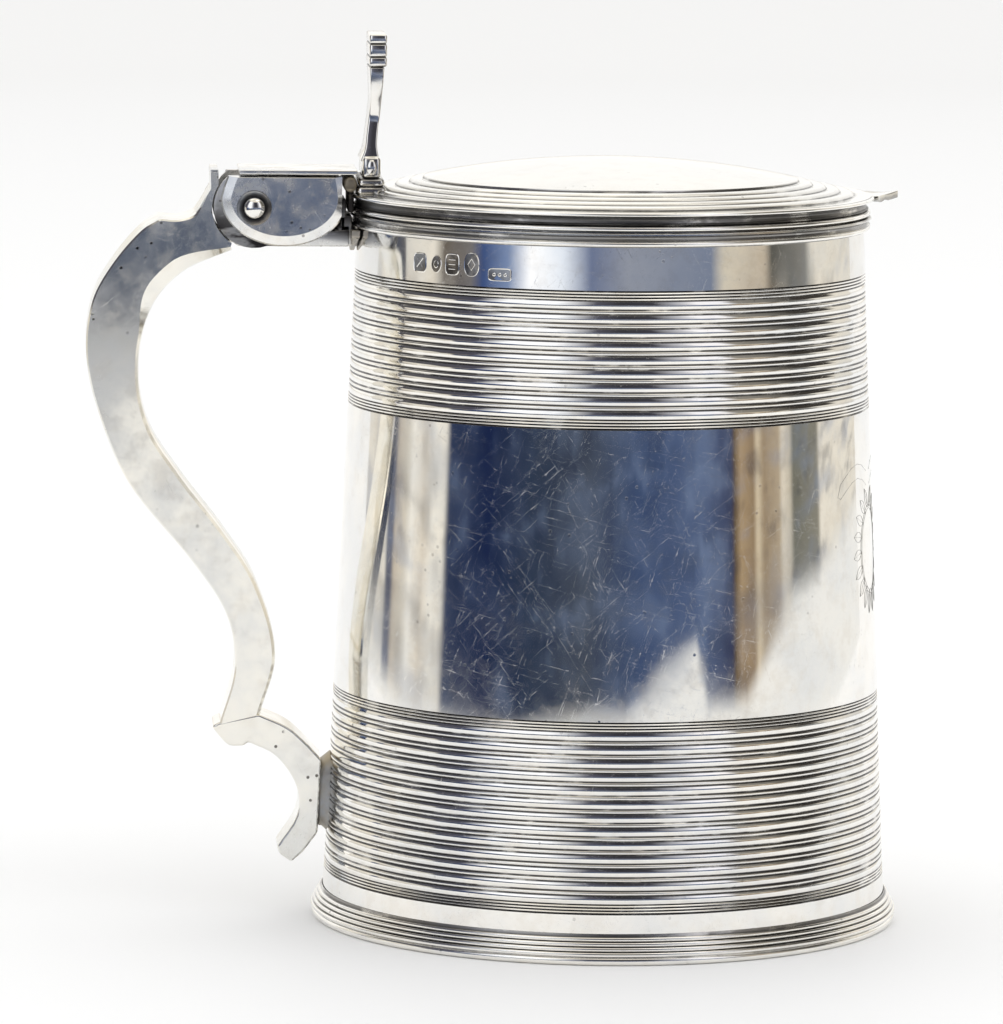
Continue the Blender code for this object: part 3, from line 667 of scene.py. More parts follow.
def make_bezel():
    """The plain ring under the lid that drops inside the drum."""
    outside = BEZEL_HIGH.x
    inside = outside - LID_SHEET
    low, high = BEZEL_LOW.z, BEZEL_HIGH.z
    # Painted shade at its top edges, next to the lid.
    shape = spun_shape(
        [
            (outside, high, 0.5),
            (outside, low + 0.0002, 0.1),
            (outside - 0.0002, low, 0.0),
            (inside + 0.0002, low, 0.0),
            (inside, low + 0.0002, 0.0),
            (inside, high, 0.7),
        ]
    )
    return finished(shape, "lid_inner_ring", LID, worn_silver, ("lid_bezel",))


def make_peak():
    """The pointed tab: a thick, lobed edge that thins towards its tip, with painted shade underneath.
    """
    shape = soften(cad_shape("lid_peak"), 0.0002, 3)
    shade_and_grime = shape.verts.layers.float[SHADE_AND_GRIME]
    edge = LID_HIGH.x
    low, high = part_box("lid_peak")
    middle = (low.z + high.z) / 2
    for point in shape.verts:
        share = min(1.0, max(0.0, (point.co.x - edge) / (high.x - edge)))
        # Painted shade on the underside.
        if point.co.z < middle:
            point.co.z -= 0.0002 + 0.0004 * abs(math.sin(2.5 * math.pi * share))
            point[shade_and_grime] = 0.5
        point.co.z += 0.0007 * share**2
        if point.co.x < edge:
            point.co.x -= 0.0018
    return finished(shape, "ogee_peak", LID, lid_silver, ("lid_peak",))


# ---------------------------------------------------------------- hinge


def flat_loop(shape, outline, y):
    """A loop of points (x, z from the pin) at one depth, with its edges."""
    points = [shape.verts.new((PIN.x + x, y, PIN.z + z)) for x, z in outline]
    loop = [shape.edges.new(pair) for pair in zip(points, points[1:] + points[:1])]
    return points, loop


def half_moon(grow, top):
    """Outline of the raised half moon on a cheek, grown or shrunk along its round side."""
    centre_x, centre_z = 0.0062, 0.0020
    across, down = 0.0131 + grow, 0.0100 + grow
    left_top = -0.0055 - grow
    outline = [(left_top, top), (left_top - 0.0008, (top + centre_z) / 2)]
    for step in range(33):
        turn = math.radians(180 + 180 * step / 32)
        outline.append((centre_x + across * math.cos(turn), centre_z + down * math.sin(turn)))
    right = centre_x + across
    outline += [(right - 0.0002, (top + centre_z) / 2), (right - 0.0006, top)]
    return [(min(x, CHEEK_HIGH.x - PIN.x + 0.0001), z) for x, z in outline]


def make_half_moon(name, side, node):
    """The raised face of a cheek, with a broad bevel along its round side."""
    outer = abs(CHEEK_LOW.y) * side
    top = CHEEK_HIGH.z - PIN.z
    shape = new_shape()
    rim = half_moon(0.0, top)
    face = half_moon(-0.0022, top - 0.0004)
    levels = (
        (rim, outer - 0.0012 * side),
        (rim, outer - 0.00075 * side),
        (half_moon(-0.0003, top - 0.0001), outer - 0.00045 * side),
        (half_moon(-0.0020, top - 0.00032), outer - 0.00006 * side),
        (face, outer),
    )
    loops = [flat_loop(shape, outline, y) for outline, y in levels]
    for (_, first), (_, second) in zip(loops, loops[1:]):
        bmesh.ops.bridge_loops(shape, edges=first + second)
    shape.faces.new(loops[0][0])
    shape.faces.new(loops[-1][0])
    bmesh.ops.recalc_face_normals(shape, faces=shape.faces)
    return keep_flat(finished(shape, name, LID, hinge_silver, (node,), 22))


def make_cheek_flange(name, side, node):
    """The recessed flange behind the half moon, darker lower down as painted shade."""
    shape = cad_shape(node)
    for point in shape.verts:
        if abs(point.co.y) > abs(CHEEK_LOW.y) - 0.0001:
            point.co.y -= CHEEK_RECESS * side
    soften(shape, 0.0002, 2)
    # Painted shade: darker towards the bottom.
    darken(shape, lambda place: 1 - blend_share(place.z - PIN.z, -0.0035, 0.0020))
    return keep_flat(finished(shape, name, LID, worn_silver, (node,)))


def turned_on_pin(profile, side, steps=64, closed=True):
    """A turned shape on the pin's axis; its profile's height runs outwards along Y."""
    shape = spun_shape(profile, steps, closed)
    turn = Matrix.Translation(PIN) @ Matrix.Rotation(math.radians(-90 * side), 4, "X")
    bmesh.ops.transform(shape, matrix=turn, verts=shape.verts)
    return shape


def make_pin():
    """A riveted pin with a domed head at each end."""
    pin_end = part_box("hinge_pin")[1].y
    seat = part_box("pin_washer_far")[1].y + CLOSE
    profile = oval_points((0.0, seat), (PIN_HEAD, pin_end - seat), range(90, -1, -9))
    profile[0] = (0.0, pin_end, 0.0)
    # Painted shade under each head.
    profile += [(PIN_HEAD - 0.0001, seat, 1.0), (PIN_SHANK, seat, 1.0)]
    profile += [(radius, -height, dark) for radius, height, dark in reversed(profile)]
    shape = turned_on_pin(profile, 1, closed=False)
    return finished(shape, "riveted_pin", LID, turned_silver, ("hinge_pin",))


def make_washer(name, side, node):
    """A dished ring round the pin's head."""
    low = abs(CHEEK_LOW.y) - CLOSE
    high = low + 0.00075
    profile = [
        (WASHER_HOLE, low + 0.0002, 1.0),
        (0.0023, low + 0.00022, 1.0),
        (0.0027, low + 0.0003, 0.7),
        (0.0031, high - 0.00012, 0.2),
        (0.0033, high, 0.0),
        (0.0035, high - 0.00015, 0.1),
        (0.00365, low, 0.8),
        (WASHER_HOLE, low, 1.0),
    ]
    shape = turned_on_pin(profile, side)
    return finished(shape, name, LID, oxide_silver, (node,))


def make_strap():
    """The flat strap over both cheeks."""
    return softened("strap_plate", "hinge_strap", LID, hinge_silver, 0.00022)


def make_riser():
    """The bar from the strap down to the lid's edge, darker lower down as painted shade."""
    shape = soften(cad_shape("strap_riser"), 0.0009, 5)
    half = LUG_HIGH.y - 0.0002
    low = (PIN.x + 0.01945, -half, DRUM_HIGH.z + 0.0003)
    high = (PIN.x + 0.0207, half, PIN.z + 0.0036)
    rounded_block(shape, low, high, 0.0004, 3)
    # Painted shade: darker towards the bottom.
    darken(shape, lambda place: 0.95 - 0.6 * blend_share(place.z - PIN.z, 0.0030, 0.0052))
    return finished(shape, "strap_knuckle", LID, joint_silver, ("strap_riser",))


def make_lug():
    """The fixed knuckle, its tongue, and the upright web where the tongue meets the drum, darkened
    with painted shade.
    """
    shape = soften(cad_shape("hinge_lug"), 0.0005, 3)
    half = LUG_HIGH.y - 0.0002
    back, low = PIN.x + 0.0178, LUG_LOW.z
    blocks = (
        (back, low + 0.0004, back + 0.0013, PIN.z + 0.0016, 0.0004, 3),
        (back, low + 0.0004, back + 0.0025, DRUM_HIGH.z - 0.0003, 0.0004, 3),
        (back - 0.0010, low + 0.0016, back + 0.0030, low + 0.0056, 0.0011, 5),
    )
    for left, bottom, right, top, radius, segments in blocks:
        rounded_block(shape, (left, -half, bottom), (right, half, top), radius, segments)

    # Painted shade on the web near the drum, above its foot.
    def web_shade(place):
        near_drum = blend_share(place.x - PIN.x, 0.0160, 0.0175)
        return 0.95 * near_drum * blend_share(place.z - low, 0.0006, 0.0018)

    darken(shape, web_shade)
    return finished(shape, "hinge_knuckle", BODY, worn_silver, ("hinge_lug",))


# ---------------------------------------------------------------- thumbpiece


def rounded_block(shape, low, high, radius, segments=5):
    """A block between two corners with every edge well rounded."""
    size = Vector(high) - Vector(low)
    place = Matrix.Translation((Vector(high) + Vector(low)) / 2) @ Matrix.Diagonal((*size, 1.0))
    made = bmesh.ops.create_cube(shape, size=1.0, matrix=place)["verts"]
    round_edges(shape, list({edge for point in made for edge in point.link_edges}), radius, segments)


def thumb_outline():
    """Outline of the plank seen from the side, up the lid's side and down the hinge's side."""
    front = [
        (0.0259, THUMB_FOOT),
        (0.0254, THUMB_FOOT + 0.0030),
        (0.0256, 0.0162),
        (0.0260, 0.0193),
        (0.0268, 0.0290),
    ]
    back = [
        (0.0237, 0.0290),
        (0.0240, 0.0224),
        (0.0237, 0.0193),
        (0.0232, 0.0151),
        (0.0228, 0.0120),
        (0.0219, THUMB_FOOT),
    ]
    return smooth_line(front, 5) + smooth_line(back, 5)


def make_thumbpiece():
    """A waisted plank with three rolls across its top."""
    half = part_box("thumbpiece")[1].y
    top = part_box("thumbpiece")[1].z
    foot = PIN.z + THUMB_FOOT
    shape = new_shape()
    points, _ = flat_loop(shape, thumb_outline(), -half)
    front = shape.faces.new(points)
    pushed = bmesh.ops.extrude_face_region(shape, geom=[front])["geom"]
    moved = [part for part in pushed if isinstance(part, bmesh.types.BMVert)]
    bmesh.ops.translate(shape, vec=(0.0, 2 * half, 0.0), verts=moved)
    bmesh.ops.recalc_face_normals(shape, faces=shape.faces)
    soften(shape, 0.0004, 4, 50)
    for step in range(1, 12):
        everything = shape.verts[:] + shape.edges[:] + shape.faces[:]
        level = (0, 0, foot + 0.0016 * step)
        bmesh.ops.bisect_plane(shape, geom=everything, plane_co=level, plane_no=(0, 0, 1))
    for point in shape.verts:
        share = min(1.0, max(0.0, (point.co.z - foot) / THUMB_HEIGHT))
        point.co.y *= 0.97 - 0.22 * math.sin(math.pi * share) ** 2
    left, right = PIN.x + 0.0236, PIN.x + 0.0273
    rolls = ((top - 0.0068, 0.0021), (top - 0.0048, 0.0028), (top - 0.0021, 0.0021))
    for low, tall in rolls:
        rounded_block(shape, (left, -half, low), (right, half, low + tall), 0.0006, 4)

    # Painted shade, with some grime, in the seams between the rolls.
    def seam_shade_and_grime(place):
        seam = min(abs(place.z - low) for low, _ in rolls)
        return 0.9 if seam < 0.00025 else 0.0

    darken(shape, seam_shade_and_grime)
    return finished(shape, "thumb_plank", LID, turned_silver, ("thumbpiece",), 40)


def make_plinth():
    """Stacked rolls under the plank, with a small boss on the near side."""
    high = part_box("thumbpiece_plinth")[1]
    middle = PIN.x + 0.0242
    reach = high.y - 0.0004
    shape = new_shape()
    rolls = (
        (high.z - 0.0044, high.z + 0.0002, 0.0019),
        (high.z - 0.0062, high.z - 0.0043, 0.0027),
        (high.z - 0.0079, high.z - 0.0060, 0.0030),
    )
    for bottom, top, deep in rolls:
        rounded_block(shape, (middle - deep, -reach, bottom), (middle + deep, reach, top), 0.0009)
    place = Matrix.Translation((middle, -high.y + 0.0006, high.z - 0.0021))
    oval = Matrix.Diagonal((0.9, 0.5, 1.3, 1.0))
    bmesh.ops.create_uvsphere(
        shape, u_segments=24, v_segments=12, radius=0.0013, matrix=place @ oval
    )

    # Painted shade, with some grime, in the seams between the rolls.
    def seam_shade_and_grime(place):
        seam = min(abs(place.z - bottom) for bottom, *_ in rolls)
        return 0.85 if seam < 0.0004 else 0.1

    darken(shape, seam_shade_and_grime)
    return finished(
        shape, "thumb_plinth", LID, turned_silver, ("thumbpiece_plinth",), 40
    )


# ---------------------------------------------------------------- handle


def by_pad(points):
    """Points counted from the pad's middle, moved to the pin's frame."""
    x = PAD_LOW.x - 0.0003 - PIN.x
    z = (PAD_LOW.z + PAD_HIGH.z) / 2 - PIN.z
    return [(x + across, z + up) for across, up in points]


def spine_line():
    """Back of the handle, down from under the shoulder to the spur."""
    cusp = (-0.0194, -0.0024)
    shoulder = smooth_line([(-0.0112, 0.0), (-0.0124, -0.0016), (-0.0157, -0.0026), cusp])
    upper = [
        cusp,
        (-0.0233, -0.0049),
        (-0.0293, -0.0120),
        (-0.0333, -0.0195),
        (-0.0346, -0.0296),
        (-0.0325, -0.0411),
        (-0.0258, -0.0572),
    ]
    lower = by_pad([(-0.0267, 0.0490), (-0.0199, 0.0382), (-0.0182, 0.0272), (-0.02130, 0.0154)])
    return shoulder[:-1] + smooth_line(upper + lower)


def inner_line():
    """Face of the handle towards the drum, up from the notch to under the hinge."""
    lower = by_pad([(-0.01312, 0.0170), (-0.0099, 0.0301), (-0.0140, 0.0450), (-0.0207, 0.0555)])
    upper = [
        (-0.0152, -0.0560),
        (-0.0219, -0.0452),
        (-0.0239, -0.0325),
        (-0.0212, -0.0207),
        (-0.0148, -0.0133),
        (-0.0046, -0.0087),
    ]
    return smooth_line(lower + upper)


def half_width(z):
    """Half the handle's width at a height counted from the pin."""
    return abs(HANDLE_LOW.y) * (1 - HANDLE_NARROWING * max(0.0, -z))


def inner_bevel(line):
    """Width of the bevel along the inner face: broad round the arch, narrow below it."""
    return [
        min(0.0006 + 0.0024 * blend_share(z, -0.027, -0.017), 0.0006 + 0.24 * max(0.0, -x - 0.0044))
        for x, z in line
    ]


def handle_verts(shape, line, reach):
    """Points along a handle line, each at a depth that follows the handle's width."""
    return [
        shape.verts.new((PIN.x + x, depth, PIN.z + z))
        for (x, z), depth in zip(line, reach)
    ]


def joined(shape, points):
    """Edges from each point to the next."""
    return [shape.edges.new(pair) for pair in zip(points, points[1:])]


def thickened(shape, index, outward, thickness):
    """Turns the sheet so that one of its faces looks outward, and gives it its thickness."""
    bmesh.ops.recalc_face_normals(shape, faces=shape.faces)
    shape.faces.ensure_lookup_table()
    if shape.faces[index].normal.dot(Vector(outward)) < 0:
        bmesh.ops.reverse_faces(shape, faces=shape.faces)
    bmesh.ops.solidify(shape, geom=shape.faces[:], thickness=thickness)


def make_handle_side(name, side, node):
    """One flat side of the hollow handle: its face, its inner bevel and its sheet."""
    top = STRAP_HIGH.z - PIN.z - 0.0005
    back = -0.0090
    front = back + UPSTAND_THICKNESS
    foot_angle = math.degrees(math.acos(front / CRADLE_RADIUS))
    cradle = arc((0.0, 0.0), CRADLE_RADIUS, 238, foot_angle, 24)
    stop = [(front, top), (back, top), (-0.0089, 0.0039), (-0.0097, 0.0026)]
    spine = spine_line()
    spine = inset_line(spine, [SPINE_BEVEL] * len(spine))
    inner = inner_line()
    face_line = inset_line(inner, inner_bevel(inner))
    shape = new_shape()
    outside = handle_verts(
        shape, cradle + stop + spine, [side * half_width(z) for _, z in cradle + stop + spine]
    )
    flat_edge = handle_verts(shape, face_line, [side * half_width(z) for _, z in face_line])
    shape.faces.new(outside + flat_edge)
    low_edge = handle_verts(shape, inner, [side * (half_width(z) - 0.0011) for _, z in inner])
    run = [shape.edges.get(pair) for pair in zip(flat_edge, flat_edge[1:])]
    bmesh.ops.bridge_loops(shape, edges=run + joined(shape, low_edge))
    thickened(shape, 0, (0, side, 0), HANDLE_SHEET)
    return keep_flat(finished(shape, name, BODY, handle_silver, (node,), 20))


def lofted_strip(name, line, sections, outward, node):
    """A strip across the handle. Each section point is (side, cut off its half width, sink)."""
    shape = new_shape()
    sunk = {sink: inset_line(line, [sink] * len(line)) for _, _, sink in sections}
    rows = []
    for sign, cut, sink in sections:
        path = sunk[sink]
        rows.append(handle_verts(shape, path, [sign * (half_width(z) - cut) for _, z in path]))
    runs = [joined(shape, row) for row in rows]
    for first, second in zip(runs, runs[1:]):
        bmesh.ops.bridge_loops(shape, edges=first + second)
    thickened(shape, len(shape.faces) // 2, (outward, 0, 0), HANDLE_SHEET * 0.8)
    return finished(shape, name, BODY, handle_silver, (node,), 30)


def make_spine():
    """The strip down the handle's back."""
    sections = [
        (-1, 0.0, SPINE_BEVEL),
        (-1, SPINE_BEVEL, 0.0),
        (1, SPINE_BEVEL, 0.0),
        (1, 0.0, SPINE_BEVEL),
    ]
    return lofted_strip("handle_back_strip", spine_line(), sections, -1, "handle_spine")


def make_inner_strip():
    """The strip down the handle's face towards the drum."""
    sections = [(-1, 0.0011, 0.0), (-1, 0.0020, -0.0002), (1, 0.0020, -0.0002), (1, 0.0011, 0.0)]
    return lofted_strip("handle_front_strip", inner_line(), sections, 1, "handle_inner_strip")


def make_shoulder():
    """The cap behind the hinge that closes the handle's top."""
    return softened(
        "handle_shoulder_cap", "handle_shoulder", BODY, hinge_silver, 0.0002
    )


def make_scroll():
    """The solid lower scroll with its spur and tail."""
    return softened(
        "handle_lower_scroll", "scroll_terminal", BODY, handle_silver, 0.0005
    )


def make_pad():
    """The pad, spread a little at both faces as solder leaves it."""
    shape = soften(cad_shape("handle_pad"), 0.0003, 3)
    middle_x = (PAD_LOW.x + PAD_HIGH.x) / 2
    middle_z = (PAD_LOW.z + PAD_HIGH.z) / 2
    for point in shape.verts:
        by_drum = point.co.x > middle_x
        above = 1 if point.co.z > middle_z else -1
        point.co.x += 0.0006 if by_drum else -0.0007
        point.co.z += (0.0010 if by_drum else -0.0006) * above
    return finished(shape, "scroll_pad", BODY, joint_silver, ("handle_pad",))


def make_shield():
    """The pointed drop where the tongue meets the drum."""
    return softened("joint_shield", "hinge_drop", BODY, joint_silver, 0.0003)


# ---------------------------------------------------------------- marks and engraving


def on_wall(azimuth, height, lift=0.0):
    """A point on the drum's wall. Azimuth is counted in radians from -Y towards +X."""
    radius = drum_radius(height) + lift
    return Vector((radius * math.sin(azimuth), -radius * math.cos(azimuth), height))


def line_work(name, strokes, azimuth, height, thickness, material):
    """Fine lines on the drum's wall. A stroke is a list of (across, up) points in metres."""
    curve = bpy.data.curves.new(name, "CURVE")
    curve.dimensions = "3D"
    curve.bevel_depth = thickness / 2
    curve.bevel_resolution = 1
    curve.use_fill_caps = True
    for stroke in strokes:
        spline = curve.splines.new("POLY")
        spline.points.add(len(stroke) - 1)
        for point, (across, up) in zip(spline.points, stroke):
            turn = math.radians(azimuth) + across / drum_radius(height)
            point.co = (*on_wall(turn, height + up), 1.0)
    helper = in_scene(name, curve)
    bpy.context.view_layer.update()
    evaluated = helper.evaluated_get(bpy.context.evaluated_depsgraph_get())
    mesh = bpy.data.meshes.new_from_object(evaluated)
    bpy.data.objects.remove(helper, do_unlink=True)
    shape = new_shape()
    shape.from_mesh(mesh)
    bmesh.ops.remove_doubles(shape, verts=shape.verts, dist=1e-7)
    return finished(shape, name, BODY, material)


def ring_stroke(across, up, wide, tall, power=2.0, steps=28):
    """A closed oval; a high power squares it."""
    stroke = []
    for step in range(steps + 1):
        turn = math.tau * step / steps
        c, s = math.cos(turn), math.sin(turn)
        x = wide / 2 * math.copysign(abs(c) ** (2 / power), c)
        y = tall / 2 * math.copysign(abs(s) ** (2 / power), s)
        stroke.append((across + x, up + y))
    return stroke


def make_punch_ground(name, outline, azimuth, height):
    """The dark sunk ground of a punch: a thin plate that follows the wall."""
    shape = new_shape()
    points = []
    for across, up in outline[:-1]:
        turn = math.radians(azimuth) + across / drum_radius(height)
        points.append(shape.verts.new(on_wall(turn, height + up, 0.00003)))
    shape.faces.new(points)
    bmesh.ops.inset_region(shape, faces=shape.faces[:], thickness=0.0001)
    bmesh.ops.recalc_face_normals(shape, faces=shape.faces)
    bmesh.ops.solidify(shape, geom=shape.faces[:], thickness=0.00006)
    return finished(shape, name, BODY, oxide_silver)


def make_punch_marks():
    """Five small punched cartouches with plain geometric devices."""
    middle = RIM_LOW.z - 0.0048
    punches = (
        ("punch_cross", -51.3, 0.0000, 0.0036, 0.0038, 5.0),
        ("punch_oval", -46.2, 0.0000, 0.0026, 0.0034, 2.0),
        ("punch_bars", -41.6, 0.0002, 0.0034, 0.0042, 4.0),
        ("punch_diamond", -36.4, 0.0004, 0.0034, 0.0046, 2.4),
        ("punch_dots", -29.3, -0.0013, 0.0050, 0.0024, 6.0),
    )
    for name, azimuth, up, wide, tall, power in punches:
        frame_line = ring_stroke(0.0, up, wide, tall, power)
        x, z = 0.25 * wide, 0.25 * tall
        devices = {
            "punch_cross": [[(-x, up - z), (x, up + z)], [(-x, up + z), (x, up - z)]],
            "punch_oval": [ring_stroke(0.0, up, wide * 0.45, tall * 0.45, 2.0, 12)],
            "punch_bars": [[(-x, up + z * row), (x, up + z * row)] for row in (-0.9, 0.0, 0.9)],
            "punch_diamond": [[(0.0, up + z), (x, up), (0.0, up - z), (-x, up), (0.0, up + z)]],
            "punch_dots": [ring_stroke(x * row, up, 0.0006, 0.0006, 2.0, 8) for row in (-1, 0, 1)],
        }
        device = devices[name]
        make_punch_ground(name + "_ground", frame_line, azimuth, middle)
        line_work(name, [frame_line] + device, azimuth, middle, 0.00026, turned_silver)


def leaf(across, up, angle, length):
    """One leaf of a spray: two arcs and a vein."""
    side = Vector((math.cos(angle), math.sin(angle)))
    cross = Vector((-side.y, side.x))
    foot = Vector((across, up))
    strokes = []
    for sign in (-1, 1):
        strokes.append(
            [
                tuple(foot + side * length * t + cross * sign * length * 0.22 * math.sin(math.pi * t))
                for t in (0.0, 0.2, 0.4, 0.6, 0.8, 1.0)
            ]
        )
    strokes.append([tuple(foot), tuple(foot + side * length * 0.8)])
    return strokes


def make_engraving():
    """A wreath of leaves round two plain ovals, with swags above and two bars below."""
    sizes = ((0.0130, 0.0170), (0.0145, 0.0185))
    strokes = [ring_stroke(0.0, 0.0, wide, tall, 2.0, 40) for wide, tall in sizes]
    for side in (-1, 1):
        for count in range(9):
            turn = math.radians(-80 + 19 * count)
            across = side * 0.0115 * math.cos(turn)
            up = 0.0135 * math.sin(turn)
            angle = math.radians(100 + 17 * count) if side > 0 else math.radians(80 - 17 * count)
            strokes += leaf(across, up, angle, 0.0050)
    for side in (-1, 1):
        swag = [
            (side * 0.0165 * t, 0.0155 + 0.003 * math.sin(math.pi * t))
            for t in (0.1, 0.3, 0.5, 0.7, 0.9, 1.05)
        ]
        strokes.append(swag)
        strokes.append([(x, z - 0.0030) for x, z in swag])
        strokes.append([swag[-1], (side * 0.0185, 0.0125), (swag[-1][0], swag[-1][1] - 0.0030)])
    strokes += [[(-0.0085, up), (0.0085, up)] for up in (-0.0160, -0.0170)]
    line_work("engraved_wreath", strokes, 73.4, 0.0795, 0.00008, engraved_silver)


# ---------------------------------------------------------------- studio

CAMERA_PLACE = Vector((-0.1146, -1.4241, 0.2600))
CAMERA_SWING = 4.6
CAMERA_YAW = -0.886
CAMERA_PITCH = 6.991
CAMERA_ROLL = 0.566
CAMERA_LENS = 241.46


def make_camera():
    """The camera, turned first level, then down, then about its own axis."""
    data = bpy.data.cameras.new("camera")
    data.lens = CAMERA_LENS
    data.sensor_width = 36.0
    data.clip_end = 60.0
    camera = in_scene("camera", data)
    camera.location = CAMERA_PLACE
    swing = Matrix.Rotation(math.radians(-CAMERA_SWING - CAMERA_YAW), 4, "Z")
    tilt = Matrix.Rotation(math.radians(90 - CAMERA_PITCH), 4, "X")
    roll = Matrix.Rotation(math.radians(CAMERA_ROLL), 4, "Z")
    camera.rotation_euler = (swing @ tilt @ roll).to_euler()
    bpy.context.scene.camera = camera


def stage_piece(name, shape, material):
    """Turns a shape into a piece of the studio."""
    mesh = bpy.data.meshes.new(name)
    shape.to_mesh(mesh)
    shape.free()
    mesh.materials.append(material)
    piece = in_scene(name, mesh)
    return piece


def make_floor():
    """A pale round floor that reaches past the picture's edges."""
    material, tree = node_material("floor_paper")
    shader = tree.nodes["Principled BSDF"]
    shader.inputs["Base Color"].default_value = (0.93, 0.93, 0.93, 1.0)
    shader.inputs["Roughness"].default_value = 0.65
    shader.inputs["Specular IOR Level"].default_value = 0.25
    shape = bmesh.new()
    bmesh.ops.create_circle(shape, cap_ends=True, radius=14.0, segments=96)
    stage_piece("floor", shape, material)


CREAM = (0.85, 0.81, 0.73)
NAVY = (0.010, 0.020, 0.070)
DUSK = (0.30, 0.33, 0.41)
TAN = (0.42, 0.31, 0.19)
OLIVE = (0.18, 0.18, 0.15)
WINDOW = (1.15, 1.18, 1.25)
TABLE_WHITE = (0.93, 0.93, 0.92, 1.0)
BACK_WHITE = (1.08, 1.07, 1.05, 1.0)

ROOM_SPAN = 240  # degrees that the near screen turns through
ROOM_SQUEEZE = 0.72  # the near screen stands closer at its two sides

# What the near screen shows, as colours at bearings in degrees from the camera's side
LOW_ROOM = (
    (-106, CREAM),
    (-104, (0.16, 0.17, 0.22)),
    (-101, (0.16, 0.17, 0.22)),
    (-99, (0.62, 0.55, 0.46)),
    (-93, (0.72, 0.67, 0.58)),
    (-89, (0.98, 0.95, 0.88)),
    (-82, (0.78, 0.72, 0.63)),
    (-77, (0.96, 0.93, 0.86)),
    (-71, (0.90, 0.86, 0.78)),
    (-69, (0.03, 0.045, 0.10)),
    (-50, NAVY),
    (-30, (0.030, 0.045, 0.085)),
    (-8, (0.06, 0.075, 0.11)),
    (14, (0.045, 0.075, 0.17)),
    (40, (0.09, 0.13, 0.25)),
    (53, (0.05, 0.06, 0.12)),
    (54, (0.13, 0.09, 0.05)),
    (57, TAN),
    (63, (0.30, 0.22, 0.14)),
    (65, (0.70, 0.60, 0.45)),
    (68, (0.36, 0.28, 0.19)),
    (76, (0.46, 0.38, 0.28)),
    (78, (0.76, 0.70, 0.60)),
    (82, (0.60, 0.55, 0.46)),
    (84, OLIVE),
    (99, (0.26, 0.25, 0.21)),
    (101, CREAM),
)
MIDDLE_ROOM = (
    (-82, CREAM),
    (-76, (0.14, 0.12, 0.10)),
    (-62, (0.20, 0.19, 0.19)),
    (-56, (0.05, 0.09, 0.24)),
    (-44, (0.22, 0.30, 0.50)),
    (-34, WINDOW),
    (-20, (0.85, 0.92, 1.05)),
    (-8, (0.16, 0.20, 0.33)),
    (8, DUSK),
    (44, (0.20, 0.24, 0.34)),
    (50, (0.72, 0.66, 0.55)),
    (70, (0.60, 0.52, 0.42)),
    (74, (0.10, 0.10, 0.09)),
    (94, (0.26, 0.25, 0.23)),
    (98, CREAM),
)
HIGH_ROOM = (
    (-113, CREAM),
    (-103, (0.10, 0.10, 0.11)),
    (-60, (0.07, 0.07, 0.10)),
    (-46, WINDOW),
    (-24, WINDOW),
    (-6, (0.09, 0.09, 0.12)),
    (6, (0.04, 0.04, 0.05)),
    (20, (0.05, 0.05, 0.065)),
    (34, (0.62, 0.63, 0.70)),
    (40, (1.05, 1.05, 1.12)),
    (52, (1.05, 1.05, 1.12)),
    (57, (0.30, 0.28, 0.25)),
    (74, (0.20, 0.19, 0.17)),
    (90, (0.04, 0.035, 0.03)),
    (112, (0.05, 0.045, 0.04)),
    (118, CREAM),
)
TABLE_EDGE = (  # heights in metres, as greys
    (8, (0.007,) * 3),
    (24, (0.022,) * 3),
    (37, (0.030,) * 3),
    (42, (0.014,) * 3),
    (59, (0.014,) * 3),
    (66, (0.022,) * 3),
    (84, (0.040,) * 3),
)


def by_bearing(tree, share, stops):
    """The colour ramp through some stops, over a share of the near screen's span."""
    ramp = tree.nodes.new("ShaderNodeValToRGB")
    while len(ramp.color_ramp.elements) < len(stops):
        ramp.color_ramp.elements.new(0.5)
    for element, (degrees, colour) in zip(ramp.color_ramp.elements, stops):
        element.position = (degrees - CAMERA_SWING + ROOM_SPAN / 2) / ROOM_SPAN
        element.color = (*colour, 1.0)
    tree.links.new(share, ramp.inputs["Fac"])
    return ramp.outputs["Color"]


def curved_screen(name, radius, low, high, start, span, steps, squeeze=1.0):
    """A curved upright screen of light, seen only in the silver. Returns its tree and its colour."""
    shape = bmesh.new()
    turn = math.radians(start)
    foot = shape.verts.new((radius * math.sin(turn), -radius * math.cos(turn), low))
    head = shape.verts.new((foot.co.x, foot.co.y, high))
    edge = shape.edges.new((foot, head))
    bmesh.ops.spin(
        shape,
        geom=[foot, head, edge],
        axis=(0, 0, 1),
        cent=(0, 0, 0),
        angle=math.radians(span),
        steps=steps,
        use_merge=False,
    )
    bmesh.ops.scale(shape, vec=(squeeze, 1, 1), verts=shape.verts)
    material, tree = node_material(name)
    tree.nodes.clear()
    glow = tree.nodes.new("ShaderNodeEmission")
    output = tree.nodes.new("ShaderNodeOutputMaterial")
    tree.links.new(glow.outputs[0], output.inputs["Surface"])
    screen = stage_piece(name, shape, material)
    screen.visible_camera = False
    screen.visible_diffuse = False
    screen.visible_shadow = False
    return tree, glow.inputs["Color"]


